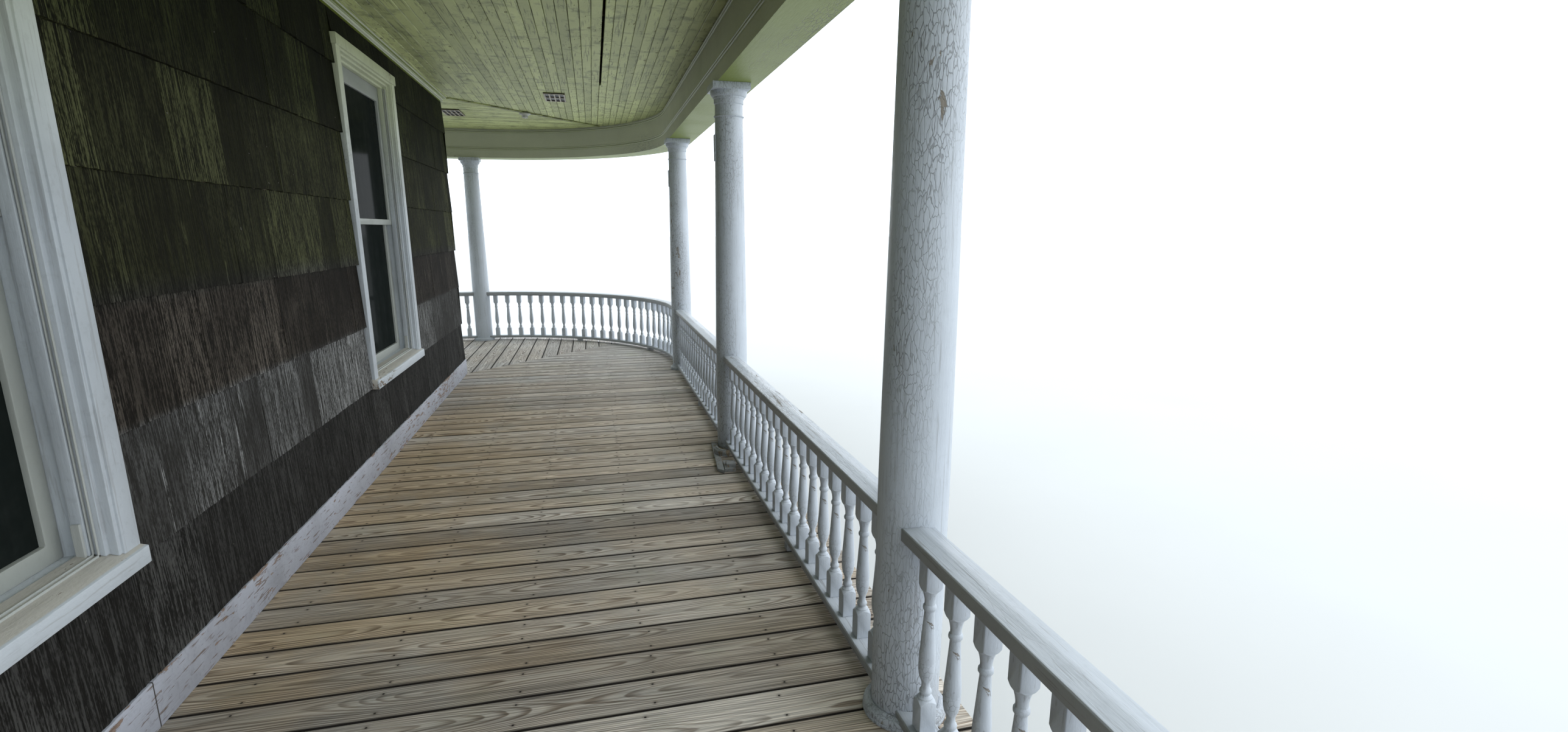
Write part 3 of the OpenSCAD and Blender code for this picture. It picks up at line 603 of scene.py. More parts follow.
class Finish(Nodes):
    """A material with its shader, its colour so far, and the piece's own lay, tone and place."""

    def __init__(self, name, base=None, shine=0.5):
        self.material = bpy.data.materials.new(name)
        self.material.use_nodes = True
        super().__init__(self.material.node_tree)
        self.tree.nodes.clear()
        self.shader = self.add("BsdfPrincipled")
        self.shader.inputs["Specular IOR Level"].default_value = shine
        self.tree.links.new(self.shader.outputs[0], self.add("OutputMaterial").inputs["Surface"])
        self.place = self.add("TexCoord").outputs["Object"]
        self.lay = self.add("Attribute", {"attribute_name": "lay"}).outputs["Vector"]
        self.tone = self.add("Attribute", {"attribute_name": "tone"}).outputs["Fac"]
        self.normal = self.add("NewGeometry").outputs["Normal"]
        self.base = base

    def group(self, name, **inputs):
        node = self.tree.nodes.new("ShaderNodeGroup")
        node.node_tree = groups[name]
        for socket, value in inputs.items():
            self.link(node.inputs[socket], value)
        return node.outputs

    def coat(self, paint, mask, share=None):
        """Lays a colour over the base where the mask wants it, by its share."""
        self.base = self.mix(mask if share is None else self.times(mask, share), self.base, paint)

    def vary(self, value, strength):
        """Shades the base darker and paler."""
        self.base = self.tint(self.base, self.shade(value, strength))

    def done(self, rough, height=None, depth=0.001, metallic=None):
        self.link(self.shader.inputs["Base Color"], self.base)
        self.link(self.shader.inputs["Roughness"], rough)
        self.link(self.shader.inputs["Metallic"], metallic)
        if height is not None:
            bump = self.add("Bump", Strength=1.0, Distance=depth, Height=height)
            self.link(self.shader.inputs["Normal"], bump.outputs[0])
        return self.material


def times_all(value, *by):
    """A colour made darker or paler, by one number or by one for each part."""
    return [min(1, part * share) for part, share in zip(value, by * 3 if len(by) == 1 else by)]


def paint_finish(name, base, bare, chips, cracks, size=30.0, long=0.35, dirt=0.4, marks=0.0, mark_run=3.0,
                 weather=0.0, under=None, outer=None, inner=None, nose=None, high=None, joint=None):
    """Old oil paint on wood. What looks down can take a colour with painted bounce light, what looks in a
    colour with painted shade, and what looks out a second paint with painted shade; a sill's nose and what
    is high can differ.
    """
    f = Finish(name, base, 0.35)
    x, y, z = f.split(f.place)
    to_x, to_y, to_z = f.split(f.normal)
    # What looks down, such as the beam's soffit, takes a colour with painted greenish bounce light
    if under:
        f.coat(under, f.span(to_z, -0.6, -0.9))
    # What looks out beyond the corner's curve takes a second paint, darkened with painted shade from the
    # eave
    if outer:
        away = f.away(f.most(f.less(x, CENTRE_X), 0.0), f.most(f.less(y, CENTRE_Y), 0.0))
        facing = f.span(f.most(to_x, to_y), 0.2, 0.5)
        f.coat(outer, f.times(facing, f.span(away, CORNER_R + 0.03, CORNER_R + 0.05)))
    # What looks in, towards the house, takes a darker colour: painted shade
    if inner:
        f.coat(inner, f.span(f.maths("MINIMUM", to_x, to_y), -0.3, -0.7))
    if nose:
        f.coat(nose, f.span(f.most(x, y), 0.040, 0.046))
    if high:
        f.coat(high, f.span(z, 1.9, 3.1))
    if weather:
        struck = f.times(f.span(f.blend((to_x, -0.6), (to_y, -0.8)), 0.55, 0.97), weather)
        cracks = f.plus(struck, cracks)
        chips = f.line(struck, 0.25, chips)
    flakes = f.group("flaking", Vector=f.lay, Size=size, Chips=chips, Cracks=cracks, Long=long)
    grain = f.group("grain", Vector=f.lay, Lines=160.0, Tone=f.tone)
    # Dust, with painted shade near the floor
    dust_and_shade_mask = f.group("dirt", Vector=f.place, Level=FLOOR_TOP, Reach=0.25, Amount=dirt)["Mask"]
    f.vary(f.noise(f.place, 1.7, 5.0, 0.65), 0.16)
    f.coat(f.tint(f.base, (0.72, 0.68, 0.60)), flakes["Stain"], 0.3)
    f.coat((0.10, 0.095, 0.08), dust_and_shade_mask, 0.5)
    f.coat((0.10, 0.095, 0.09), flakes["Crack"], 0.65)
    f.coat(f.mix(grain["Lines"], bare, times_all(bare, 2.1)), flakes["Bare"])
    if marks:
        mark = f.streaks(f.lay, (mark_run, 85.0, 85.0), 4.0, 0.62)
        f.coat(times_all(bare, 0.85), f.span(mark, 0.585, 0.64), marks)
    if joint:
        f.coat((0.035, 0.03, 0.025), f.span(f.size(f.less(y, joint)), 0.0034, 0.0016))
    height = f.blend((flakes["Height"], 0.7), (grain["Lines"], 0.3))
    return f.done(f.line(f.most(flakes["Bare"], dust_and_shade_mask), 0.4, 0.42), height, 0.0018)


def make_finishes(c):
    groups.update(grain=grain_group(), flaking=flaking_group(), dirt=dirt_group())
    bare, grey = c.bare, c.bare_grey
    finishes.update(
        column=paint_finish("Column paint", c.white, grey, 0.20, 0.62, 38.0, 0.3, marks=0.25, weather=0.85),
        # The rails' faces that look in take painted shade
        rail=paint_finish("Rail paint", c.white, grey, 0.38, 0.65, 34.0, 0.12, marks=0.42, mark_run=3.2,
                          inner=(0.35, 0.37, 0.385)),
        turned=paint_finish("Baluster paint", c.white, grey, 0.30, 0.25, 30.0, 0.6, marks=0.3,
                            mark_run=9.0),
        trim=paint_finish("Trim paint", c.trim, bare, 0.32, 0.45, 34.0, 0.2, 0.7, marks=0.2, mark_run=3.5,
                          high=(0.58, 0.62, 0.40)),
        base=paint_finish("Base board paint", (0.455, 0.475, 0.55), (0.16, 0.115, 0.09), 0.62, 0.6, 46.0,
                          0.22, 1.0, marks=0.9, mark_run=7.0, joint=BASE_JOINT),
        # The beam's soffit takes painted bounce light; its outer strip is white paint darkened with painted
        # shade
        green=paint_finish("Beam paint", c.green, bare, 0.12, 0.3, 26.0, 0.2, 0.3, under=c.soffit_bounce_light,
                           outer=(0.36, 0.39, 0.42)),
        outer=paint_finish("Outer trim paint", times_all(c.trim, 0.85), bare, 0.34, 0.5, 34.0, 0.2, 0.7,
                           marks=0.3, mark_run=3.5),
        old=paint_finish("Rotten paint", (0.34, 0.36, 0.37), bare, 0.62, 0.9, 44.0, 0.25, 1.0),
        sash=paint_finish("Sash paint", c.sash, bare, 0.10, 0.2, dirt=0.3),
        track=paint_finish("Track paint", (0.46, 0.48, 0.47), bare, 0.2, 0.2, dirt=0.6),
        sill=paint_finish("Sill paint", c.sill, bare, 0.45, 0.3, 40.0, 0.4, marks=0.2, mark_run=5.0,
                          nose=times_all(c.trim, 1.08)),
        ceiling=ceiling_finish(c),
        floor=floor_finish(c),
        shingle=shingle_finish(c),
        framing=wood_finish("Framing wood", c.framing, 0.72),
        lining=wood_finish("Lining boards", c.lining, 0.6),
        block=masonry_finish("Foundation blocks", c.block, 90.0, 0.0016),
        brick=masonry_finish("Pier brick", c.brick, 60.0, 0.0012),
        mortar=masonry_finish("Mortar", c.mortar, 140.0, 0.0012),
        roof=roof_finish(c),
        flashing=flashing_finish(c),
        vent=vent_finish(c),
        lamp=lamp_finish(c),
        glass=glass_finish(c))


def wood_finish(name, base, gloss):
    f = Finish(name, base)
    grain = f.group("grain", Vector=f.lay, Lines=140.0, Rings=130.0, Tone=f.tone)
    # Dust, with painted shade near the ground
    dust_and_shade_mask = f.group("dirt", Vector=f.place, Level=0.0, Reach=0.2, Amount=0.5)["Mask"]
    f.vary(f.tone, 0.22)
    f.coat(times_all(base, 0.6, 0.52, 0.42), grain["Arches"], 0.5)
    f.vary(grain["Lines"], 0.25)
    f.coat((0.09, 0.05, 0.03), grain["Knots"], 0.8)
    f.coat((0.12, 0.11, 0.095), dust_and_shade_mask, 0.55)
    height = f.blend((grain["Lines"], 0.6), (grain["Arches"], 0.4))
    return f.done(f.line(grain["Lines"], 0.12, gloss), height, 0.0008)


def floor_finish(c):
    """Weathered floor boards with nail holes, splits and a warmer strip near the wall, and painted shade at
    their edges and in the gaps.
    """
    f = Finish("Floor boards", c.floor, 0.2)
    grain = f.group("grain", Vector=f.lay, Lines=210.0, Rings=135.0, Tone=f.tone)
    along, across = f.split(f.lay)[:2]
    x, y = f.split(f.place)[:2]
    own = f.maths("FRACT", f.times(f.tone, 7.3))
    f.vary(f.tone, 0.40)
    patch = f.span(f.line(own, 0.4, f.noise(f.place, 0.9, 4.0, 0.6)), 0.45, 0.85)
    f.coat(c.floor_warm, f.times(patch, f.line(f.span(x, 1.5, 0.1), 0.55, 0.45)), 0.8)
    f.coat((0.43, 0.43, 0.43), f.span(y, -2.6, 0.6), 0.6)
    f.coat((0.38, 0.38, 0.365), f.span(f.noise(f.place, 2.6, 5.0, 0.65), 0.46, 0.72), 0.4)
    mossy = f.noise(f.vector("ADD", f.place, (9.0, 4.0, 0.0)), 1.8, 4.0, 0.6)
    f.coat((0.25, 0.25, 0.13), f.span(mossy, 0.52, 0.75), 0.25)
    fade = f.span(f.streaks(f.lay, (1.4, 8.0, 8.0), 2.0), 0.3, 0.62, 0.35, 0.95)
    f.coat(f.tint(f.base, (0.38, 0.33, 0.29)), grain["Arches"], fade)
    f.vary(f.span(grain["Lines"], 0.32, 0.66), 0.42)
    f.coat((0.055, 0.035, 0.022), grain["Knots"], 0.9)
    splits = f.span(f.streaks(f.lay, (2.2, 55.0, 55.0), 2.0, 0.5), 0.30, 0.25)
    f.coat((0.03, 0.025, 0.02), splits, 0.75)
    # Painted shade along the boards' eased edges and, near black, on their sides in the gaps
    f.coat((0.045, 0.038, 0.030), f.span(f.size(across), 0.0665, 0.0745), 0.72)
    f.coat((0.016, 0.013, 0.011), f.span(f.split(f.normal)[2], 0.86, 0.45), 0.9)
    step = f.maths("DIVIDE", f.line(f.tone, 0.05, along), NAIL_ROWS)
    row = f.times(f.less(f.maths("FRACT", step), 0.5), NAIL_ROWS)
    pair = f.less(f.size(f.line(own, 0.012, across)), 0.047)
    apart = f.away(row, pair)
    nail = f.span(apart, 0.0045, 0.0028)
    f.coat((0.07, 0.045, 0.03), f.span(apart, 0.014, 0.003), 0.35)
    f.coat((0.022, 0.018, 0.016), nail)
    height = f.blend((grain["Lines"], 0.5), (grain["Arches"], 0.35), (splits, -0.8), (nail, -1.5))
    return f.done(f.line(grain["Lines"], 0.2, 0.66), height, 0.0012)


def ceiling_finish(c):
    """Thin paint on ceiling boards, flaked in streaks along them, with soot and damp stains, and painted
    shade in the grooves.
    """
    f = Finish("Ceiling paint", c.ceiling, 0.2)
    flakes = f.group("flaking", Vector=f.lay, Size=42.0, Chips=0.42, Cracks=0.5, Long=0.16)
    grain = f.group("grain", Vector=f.lay, Lines=180.0, Tone=f.tone)
    f.vary(f.tone, 0.20)
    f.vary(f.noise(f.lay, 1.4, 4.0, 0.6), 0.22)
    f.coat((0.22, 0.24, 0.11), flakes["Stain"], 0.3)
    f.coat((0.13, 0.14, 0.075), f.span(f.noise(f.place, 7.0, 5.0, 0.68), 0.50, 0.68), 0.55)
    f.coat((0.10, 0.105, 0.06), f.span(f.streaks(f.lay, (2.5, 70.0, 70.0), 3.0, 0.6), 0.56, 0.68), 0.6)
    f.coat((0.07, 0.07, 0.045), flakes["Crack"], 0.5)
    # Painted shade in the grooves between the boards, patchy along them
    groove_shade = f.span(f.size(f.split(f.lay)[1]), 0.0285, 0.0318)
    worn = f.span(f.streaks(f.lay, (2.1, 14.0, 14.0), 3.0, 0.65), 0.44, 0.60)
    f.coat((0.055, 0.055, 0.034), f.times(groove_shade, worn), 0.62)
    f.coat((0.15, 0.15, 0.085), flakes["Bare"], 0.75)
    height = f.blend((flakes["Height"], 0.7), (grain["Lines"], 0.3))
    return f.done(f.line(flakes["Bare"], 0.4, 0.5), height, 0.0012)


def shingle_finish(c):
    """Combed wall shingles, nearly black, with worn grey streaks and a green tinge high up."""
    f = Finish("Wall shingles", shine=0.08)
    comb = f.streaks(f.lay, (1.1, 165.0, 165.0), 2.5, 0.6)
    streak = f.streaks(f.lay, (2.4, 26.0, 26.0), 3.0)
    grit = f.streaks(f.lay, (60.0, 200.0, 200.0), 3.0, 0.65)
    worn = f.blend((f.maths("POWER", f.tone, 1.7), 0.45), (f.noise(f.place, 2.3, 4.0, 0.6), 0.62))
    lines = f.span(f.blend((comb, 0.62), (grit, 0.38)), 0.44, 0.60)
    pale = f.times(f.span(worn, 0.20, 0.85, 0.07, 0.95), lines)
    pale = f.most(pale, f.times(f.times(f.span(streak, 0.60, 0.72), lines), 0.8))
    # Courses meet near 1.016, 1.372 and 1.728 m above the ground
    level = f.split(f.place)[2]
    lowest = f.times(f.span(level, 1.024, 1.008), 0.65)
    even = f.line(lines, 0.30, 0.035)
    pale = f.plus(f.times(pale, f.less(1.0, lowest)), f.times(even, lowest))
    pale = f.times(pale, f.span(level, 1.70, 1.82, 1.0, 0.84))
    second = f.times(f.span(level, 1.008, 1.024), f.span(level, 1.42, 1.36))
    third = f.times(f.span(level, 1.36, 1.40), f.span(level, 1.76, 1.70))
    tint = f.mix(second, (0.68, 0.69, 0.70), (2.05, 2.12, 2.24))
    tint = f.mix(f.times(third, 0.8), tint, (0.78, 0.66, 0.56))
    tint = f.mix(f.span(level, 1.70, 1.82), tint, (0.72, 0.78, 0.39))
    tint = f.mix(f.span(level, 2.3, 2.6), tint, (0.38, 0.45, 0.17))
    f.base = f.tint(f.mix(pale, c.shingle, c.shingle_pale), tint)
    f.coat((0.22, 0.21, 0.19), f.span(f.noise(f.place, 31.0, 2.0, 0.6), 0.76, 0.79), 0.6)
    return f.done(f.line(comb, 0.3, 0.7), f.blend((comb, 0.7), (streak, 0.5)), 0.004)


def masonry_finish(name, base, size, depth):
    f = Finish(name, base)
    pores = f.noise(f.place, size, 5.0, 0.7)
    f.vary(f.tone, 0.18)
    f.vary(f.noise(f.place, 4.0, 4.0, 0.6), 0.22)
    f.vary(pores, 0.25)
    # Dust, with painted shade near the ground
    f.coat((0.10, 0.10, 0.075), f.group("dirt", Vector=f.place, Level=0.0, Reach=0.12, Amount=0.8)["Mask"])
    return f.done(f.line(pores, 0.12, 0.8), pores, depth)


def roof_finish(c):
    """Mineral granules on bitumen tabs."""
    f = Finish("Roof tabs", c.roof)
    granule = f.split(f.cells(f.place, 420.0)["Color"])[0]
    f.vary(granule, 0.65)
    f.vary(f.tone, 0.22)
    f.coat((0.13, 0.135, 0.10), f.span(f.noise(f.place, 1.1, 4.0, 0.6), 0.5, 0.75), 0.4)
    return f.done(f.line(granule, 0.1, 0.82), granule, 0.0012)


def flashing_finish(c):
    """Galvanised sheet, dulled and stained along its length."""
    f = Finish("Flashing", c.flashing)
    run = f.streaks(f.lay, (1.5, 30.0, 30.0), 4.0, 0.6)
    f.vary(f.split(f.cells(f.place, 70.0)["Color"])[0], 0.18)
    f.coat((0.11, 0.085, 0.06), f.span(run, 0.48, 0.70))
    return f.done(f.span(run, 0.4, 0.75, 0.42, 0.8), run, 0.0006, f.span(run, 0.72, 0.48))


def vent_finish(c):
    """Brown enamel on pressed steel, rusting at its edges, with painted shade in its holes."""
    f = Finish("Vent enamel", c.vent)
    rust = f.span(f.noise(f.place, 38.0, 6.0, 0.65), 0.52, 0.66)
    f.vary(f.noise(f.place, 9.0), 0.25)
    f.coat((0.11, 0.065, 0.04), rust, 0.7)
    # The recessed holes take near-black painted shade
    f.coat((0.012, 0.010, 0.008), f.span(f.split(f.place)[2], CEILING_Z - 0.0105, CEILING_Z - 0.005))
    return f.done(f.line(rust, 0.4, 0.42), rust, 0.0005, f.line(rust, -0.25, 0.25))


def lamp_finish(c):
    """Glazed china, dusty on its ledges."""
    f = Finish("Lamp china", c.lamp)
    dust = f.noise(f.place, 30.0, 4.0, 0.6)
    f.coat((0.26, 0.25, 0.20), f.span(dust, 0.45, 0.75), 0.5)
    return f.done(f.span(dust, 0.4, 0.8, 0.18, 0.5), dust, 0.0003)


def glass_finish(c):
    """Panes before a dark room, with dust and streaks."""
    f = Finish("Window glass", c.glass, 0.003)
    run = f.streaks(f.place, (20.0, 20.0, 1.2), 3.0, 0.6)
    dust = f.blend((f.noise(f.place, 14.0, 5.0, 0.65), 0.6), (run, 0.4))
    mask = f.times(f.span(dust, 0.42, 0.75), 0.06)
    f.coat((0.12, 0.13, 0.12), mask)
    return f.done(f.span(mask, 0.0, 0.25, 0.08, 0.3), f.noise(f.place, 3.0, 1.0), 0.0006)


# Operators
class PORCH_OT_stage(bpy.types.Operator):
    """Sets up the camera, the studio's light and its pale floor"""
    bl_idname = "porch.stage"
    bl_label = "Stage"

    def execute(self, context):
        scene = context.scene
        view = scene.porch_view
        f = Finish("Studio floor")
        cloud = f.noise(f.place, 0.6, 3.0, 0.5)
        f.base = f.mix(cloud, (0.52, 0.53, 0.52), (0.58, 0.59, 0.58))
        f.done(f.span(cloud, 0.0, 1.0, 0.75, 0.9))
        bpy.ops.object.select_all(action="DESELECT")
        bpy.ops.mesh.primitive_plane_add(size=400, location=(0, 0, 0))
        floor = context.object
        floor.name = "studio_floor"
        floor.data.materials.append(f.material)
        scene.world = bpy.data.worlds.new("Studio")
        scene.world.use_nodes = True
        sky = scene.world.node_tree.nodes["Background"].inputs
        sky["Color"].default_value = (0.86, 0.93, 1.0, 1)
        sky["Strength"].default_value = view.sky
        for name, place, share, tint in (
                ("open_side_lamp", (8, -3, 6), 1.0, (1.0, 0.98, 0.94)),
                ("front_lamp", (1, 9, 5), 0.5, (1.0, 0.99, 0.96))):
            lamp = made_of(name, bpy.data.lights.new(name, "SUN"))
            lamp.data.angle = math.radians(70)
            lamp.data.energy = view.side_light * share
            lamp.data.color = tint
            lamp.location = place
            lamp.rotation_euler = (-Vector(place)).to_track_quat("-Z", "Y").to_euler()
        heading, tilt, roll = view.heading, view.tilt, view.roll
        level = Vector((math.cos(heading), -math.sin(heading), 0))
        ahead = Vector((math.sin(heading), math.cos(heading), math.tan(tilt))).normalized()
        right = math.cos(roll) * level + math.sin(roll) * level.cross(ahead)
        turn = Matrix((right, right.cross(ahead), -ahead)).transposed()
        camera = made_of("porch_camera", bpy.data.cameras.new("porch_camera"))
        camera.matrix_world = Matrix.Translation(view.place) @ turn.to_4x4()
        camera.data.sensor_width = 36
        camera.data.lens = view.lens
        camera.data.shift_y = view.rise
        camera.data.clip_start = 0.05
        camera.data.clip_end = 300
        scene.camera = camera
        scene.view_settings.view_transform = "Standard"
        make_finishes(scene.porch_colours)
        return {"FINISHED"}


class PORCH_OT_floor(bpy.types.Operator):
    """Lays the floor boards of both sides, mitred at the corner"""
    bl_idname = "porch.floor"
    bl_label = "Floor boards"

    def execute(self, context):
        sizes = context.scene.porch_sizes
        pitch = sizes.floor_pitch
        thick = FLOOR_TOP - FLOOR_UNDER + 0.004
        for part, run, turn, seed in (("side", 0, 0.0, 5), ("front", 1, math.pi / 2, 7)):
            node, name = "deck_" + part, "floor_boards_" + part
            rng = random.Random(seed)
            low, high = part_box(node)
            row = 1 - run
            first = plank(name, high[run] - low[run] + 0.01, pitch - sizes.floor_gap, thick, 0.004)
            made = []
            for i in range(math.ceil((high[row] - low[row]) / pitch)):
                spot = Vector((0, 0, FLOOR_TOP - rng.uniform(0, 0.0014)))
                spot[run] = low[run] - 0.005
                spot[row] = low[row] + (i + 0.5) * pitch
                place = Matrix.Translation(spot) @ Matrix.Rotation(turn, 4, "Z")
                made.append(toned(copied(first, name, place), rng.random()))
            dropped(first)
            piece = cut(joined(name, made), traced("cutter", node))
            settled(smoothed(piece, 40), "floor", "deck_boards", node)
        return {"FINISHED"}


class PORCH_OT_framing(bpy.types.Operator):
    """Finishes what carries the floor: joists, girders, rim board, piers and foundation"""
    bl_idname = "porch.framing"
    bl_label = "Floor framing and masonry"

    def execute(self, context):
        dressed("joists", "framing", "frame_wood", "wall", 0.003)
        dressed("girders", "framing", "frame_wood", "wall", 0.003)
        dressed("rim_board", "outer", "peeling_white", "sweep", 0.002)
        self.piers()
        self.foundation(context.scene.porch_sizes)
        return {"FINISHED"}

    def piers(self):
        rng = random.Random(11)
        spots = places("piers", 0.3)
        wide = (spots[0][1].x - spots[0][0].x) / 2
        inset = wide - 0.006
        course = PIER_TOP / 3
        gap = MORTAR / 2
        brick = eased(block("brick", (-wide, gap, gap), (wide, wide, course - gap)), 0.004)
        core = eased(block("pier_core", (-inset, -inset, 0), (inset, inset, PIER_TOP)), 0.004)
        lay(core, "x")
        bricks, cores = [], []
        for low, high in spots:
            x, y = (low + high) / 2
            cores.append(toned(copied(core, "pier_core", (x, y, 0)), rng.random()))
            for level in range(3):
                for half in (0, 1):
                    turn = math.pi * half + math.pi / 2 * (level % 2)
                    place = Matrix.Translation((x, y, level * course)) @ Matrix.Rotation(turn, 4, "Z")
                    bricks.append(toned(copied(brick, "brick", place), rng.random()))
        dropped(brick, core)
        settled(smoothed(joined("pier_bricks", bricks)), "brick", "masonry", "piers")
        settled(smoothed(joined("pier_mortar", cores)), "mortar", "masonry", "piers")

    def foundation(self, sizes):
        rng = random.Random(12)
        gap = MORTAR / 2
        rise = FOOTING_TOP / 2
        rows = []
        for course in (0, 1):
            for side, start, end in ((True, END_Y, 0.0), (False, END_X, FOOTING_IN)):
                step = (end - start) / round((end - start) / sizes.block_length)
                at = start - course * step / 2
                while at < end - 0.01:
                    low = (FOOTING_IN, max(at, start) + gap, course * rise + gap)
                    high = (0, min(at + step, end) - gap, (course + 1) * rise - gap)
                    piece = block("foundation_block", swapped(side, low), swapped(side, high))
                    rows.append(toned(eased(piece, 0.006), rng.random()))
                    at += step
        settled(smoothed(joined("foundation_blocks", rows)), "block", "masonry", "foundation")
        core = traced("foundation_mortar", "foundation")
        edit(core, True)
        bpy.ops.transform.shrink_fatten(value=-0.007, use_even_offset=True)
        leave_edit()
        settled(smoothed(toned(core, 0.5)), "mortar", "masonry", "foundation")


class PORCH_OT_shingles(bpy.types.Operator):
    """Hangs the wall shingles in lapped courses, woven at the house's corner"""
    bl_idname = "porch.shingles"
    bl_label = "Wall shingles"

    def execute(self, context):
        rise = context.scene.porch_sizes.course
        shake = self.shake(rise)
        for part, side, start, seed in (("side", True, END_Y, 21), ("front", False, END_X, 22)):
            rng = random.Random(seed)
            windows = self.windows(side)
            rows = []
            for course in range(math.ceil((CROWN_FOOT - BASE_TOP) / rise - 0.02)):
                foot = BASE_TOP + course * rise
                head = min(foot + rise, CROWN_FOOT)
                end = BUTT * 0.9 if (course % 2 == 0) == side else 0.0
                for a, b, low, high in self.stretches(start, end, foot, head, windows):
                    rows += self.course(shake, side, a, b, low, high, rise, rng)
            piece = smoothed(joined("wall_shingles_" + part, rows), 25)
            settled(piece, "shingle", "dark_shingles", "shingles_" + part)
        dropped(shake)
        return {"FINISHED"}

    def windows(self, side):
        """Where each window of a wall begins and ends, along the wall."""
        spans = []
        axis = 1 if side else 0
        for low, high in places("window_sashes", WINDOW_REACH):
            if (low.y < -1.0) == side:
                middle = (low[axis] + high[axis]) / 2
                spans.append((middle - STRIP_HALF, middle + STRIP_HALF))
        return sorted(spans)

    def stretches(self, start, end, foot, head, windows):
        """Parts of a course: beside the windows at its full height, and under and over them."""
        parts = []
        at = start
        for a, b in windows:
            parts.append((at, a, foot, head))
            if foot < SILL_FOOT - 0.05:
                near = abs(head - SILL_FOOT) < 0.03
                parts.append((a, b, foot, SILL_FOOT if near else min(head, SILL_FOOT)))
            if head > CAP_TOP + 0.02:
                parts.append((a, b, max(foot, CAP_TOP), head))
            at = b
        parts.append((at, end, foot, head))
        return parts

    def shake(self, rise):
        """One shingle, a metre wide before it is scaled: a wedge with shallow split grooves."""
        piece = block("shake", (0, -0.5, 0), (BUTT, 0.5, rise))
        edit(piece)
        pick(piece, "EDGE", lambda edge: edge_along(edge, 1))
        bpy.ops.mesh.subdivide(number_cuts=9)
        for move, wanted in (
                ((-0.75 * BUTT, 0, 0), lambda co, line: co.x > BUTT / 2 and co.z > rise / 2),
                ((-0.0012, 0, 0), lambda co, line: co.x > 0.001 and line % 2 == 1),
                ((-0.0010, 0, 0), lambda co, line: co.x > 0.001 and line in (3, 7)),
                ((0, 0, 0.0022), lambda co, line: co.z < 0.001 and line in (2, 5, 6, 9))):
            pick(piece, "VERT", lambda v: wanted(v.co, round((v.co.y + 0.5) * 10)))
            bpy.ops.transform.translate(value=move)
        leave_edit()
        return piece

    def course(self, shake, side, start, end, foot, head, rise, rng):
        sizes = bpy.context.scene.porch_sizes
        made = []
        at = start
        while at < end - 0.02:
            wide = rng.uniform(sizes.shingle_least, sizes.shingle_most)
            if end - at - wide < sizes.shingle_least * 0.7:
                wide = end - at
            gap = rng.uniform(0.0008, 0.0025)
            drop = rng.uniform(0.0, 0.004) if foot > BASE_TOP + 0.01 else 0.0
            thick = rng.uniform(0.86, 1.0)
            place = Matrix.Translation((0, at + wide / 2, foot - drop))
            place = place @ Matrix.Diagonal((thick, wide - gap, (head - foot + drop) / rise, 1))
            piece = copied(shake, "shake", place if side else SWAP @ place)
            if not side:
                piece.data.flip_normals()
            lay(piece, "z", (rng.uniform(0, 40), rng.uniform(0, 40), 0))
            made.append(toned(piece, rng.random()))
            at += wide
        return made


class PORCH_OT_walls(bpy.types.Operator):
    """Lines the walls' inner faces with boards, and finishes base board and ceiling moulding"""
    bl_idname = "porch.walls"
    bl_label = "Walls"

    def execute(self, context):
        pitch = context.scene.porch_sizes.lining_pitch
        deep = 0.014
        for part, axis, start in (("side", 0, END_Y), ("front", 1, END_X)):
            node, name = "wall_" + part, part + "_wall"
            rng = random.Random(31 + axis)
            move = Vector((0, 0, 0))
            move[axis] = deep
            core = shifted(traced(name + "_core", node), lambda v: v.co[axis] < WALL_IN + 0.001, move)
            lay(core, "yx"[axis])
            settled(smoothed(toned(core, 0.4)), "lining", "wall_boarding", node)
            low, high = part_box(node)
            first = plank("lining", WALL_IN - start + 0.02, pitch - 0.003, deep, 0.003)
            made = []
            for i in range(math.ceil((high.z - low.z) / pitch)):
                flat = [(0, 0, -1, WALL_IN), (1, 0, 0, start - 0.01)]
                up = (0, 2 * axis - 1, 0, low.z + (i + 0.5) * pitch)
                place = Matrix((flat[axis], flat[1 - axis], up, (0, 0, 0, 1)))
                made.append(toned(copied(first, "lining", place), rng.random()))
            dropped(first)
            piece = cut(joined(name + "_lining", made), traced("cutter", node))
            settled(smoothed(piece), "lining", "wall_boarding", node)
        dressed("base_board", "base", "peeling_white", "wall", 0.003)
        dressed("crown_moulding", "green", "green_paint", "wall", 0.0)
        dressed("end_panels", "outer", "peeling_white", "wall", 0.002)
        return {"FINISHED"}


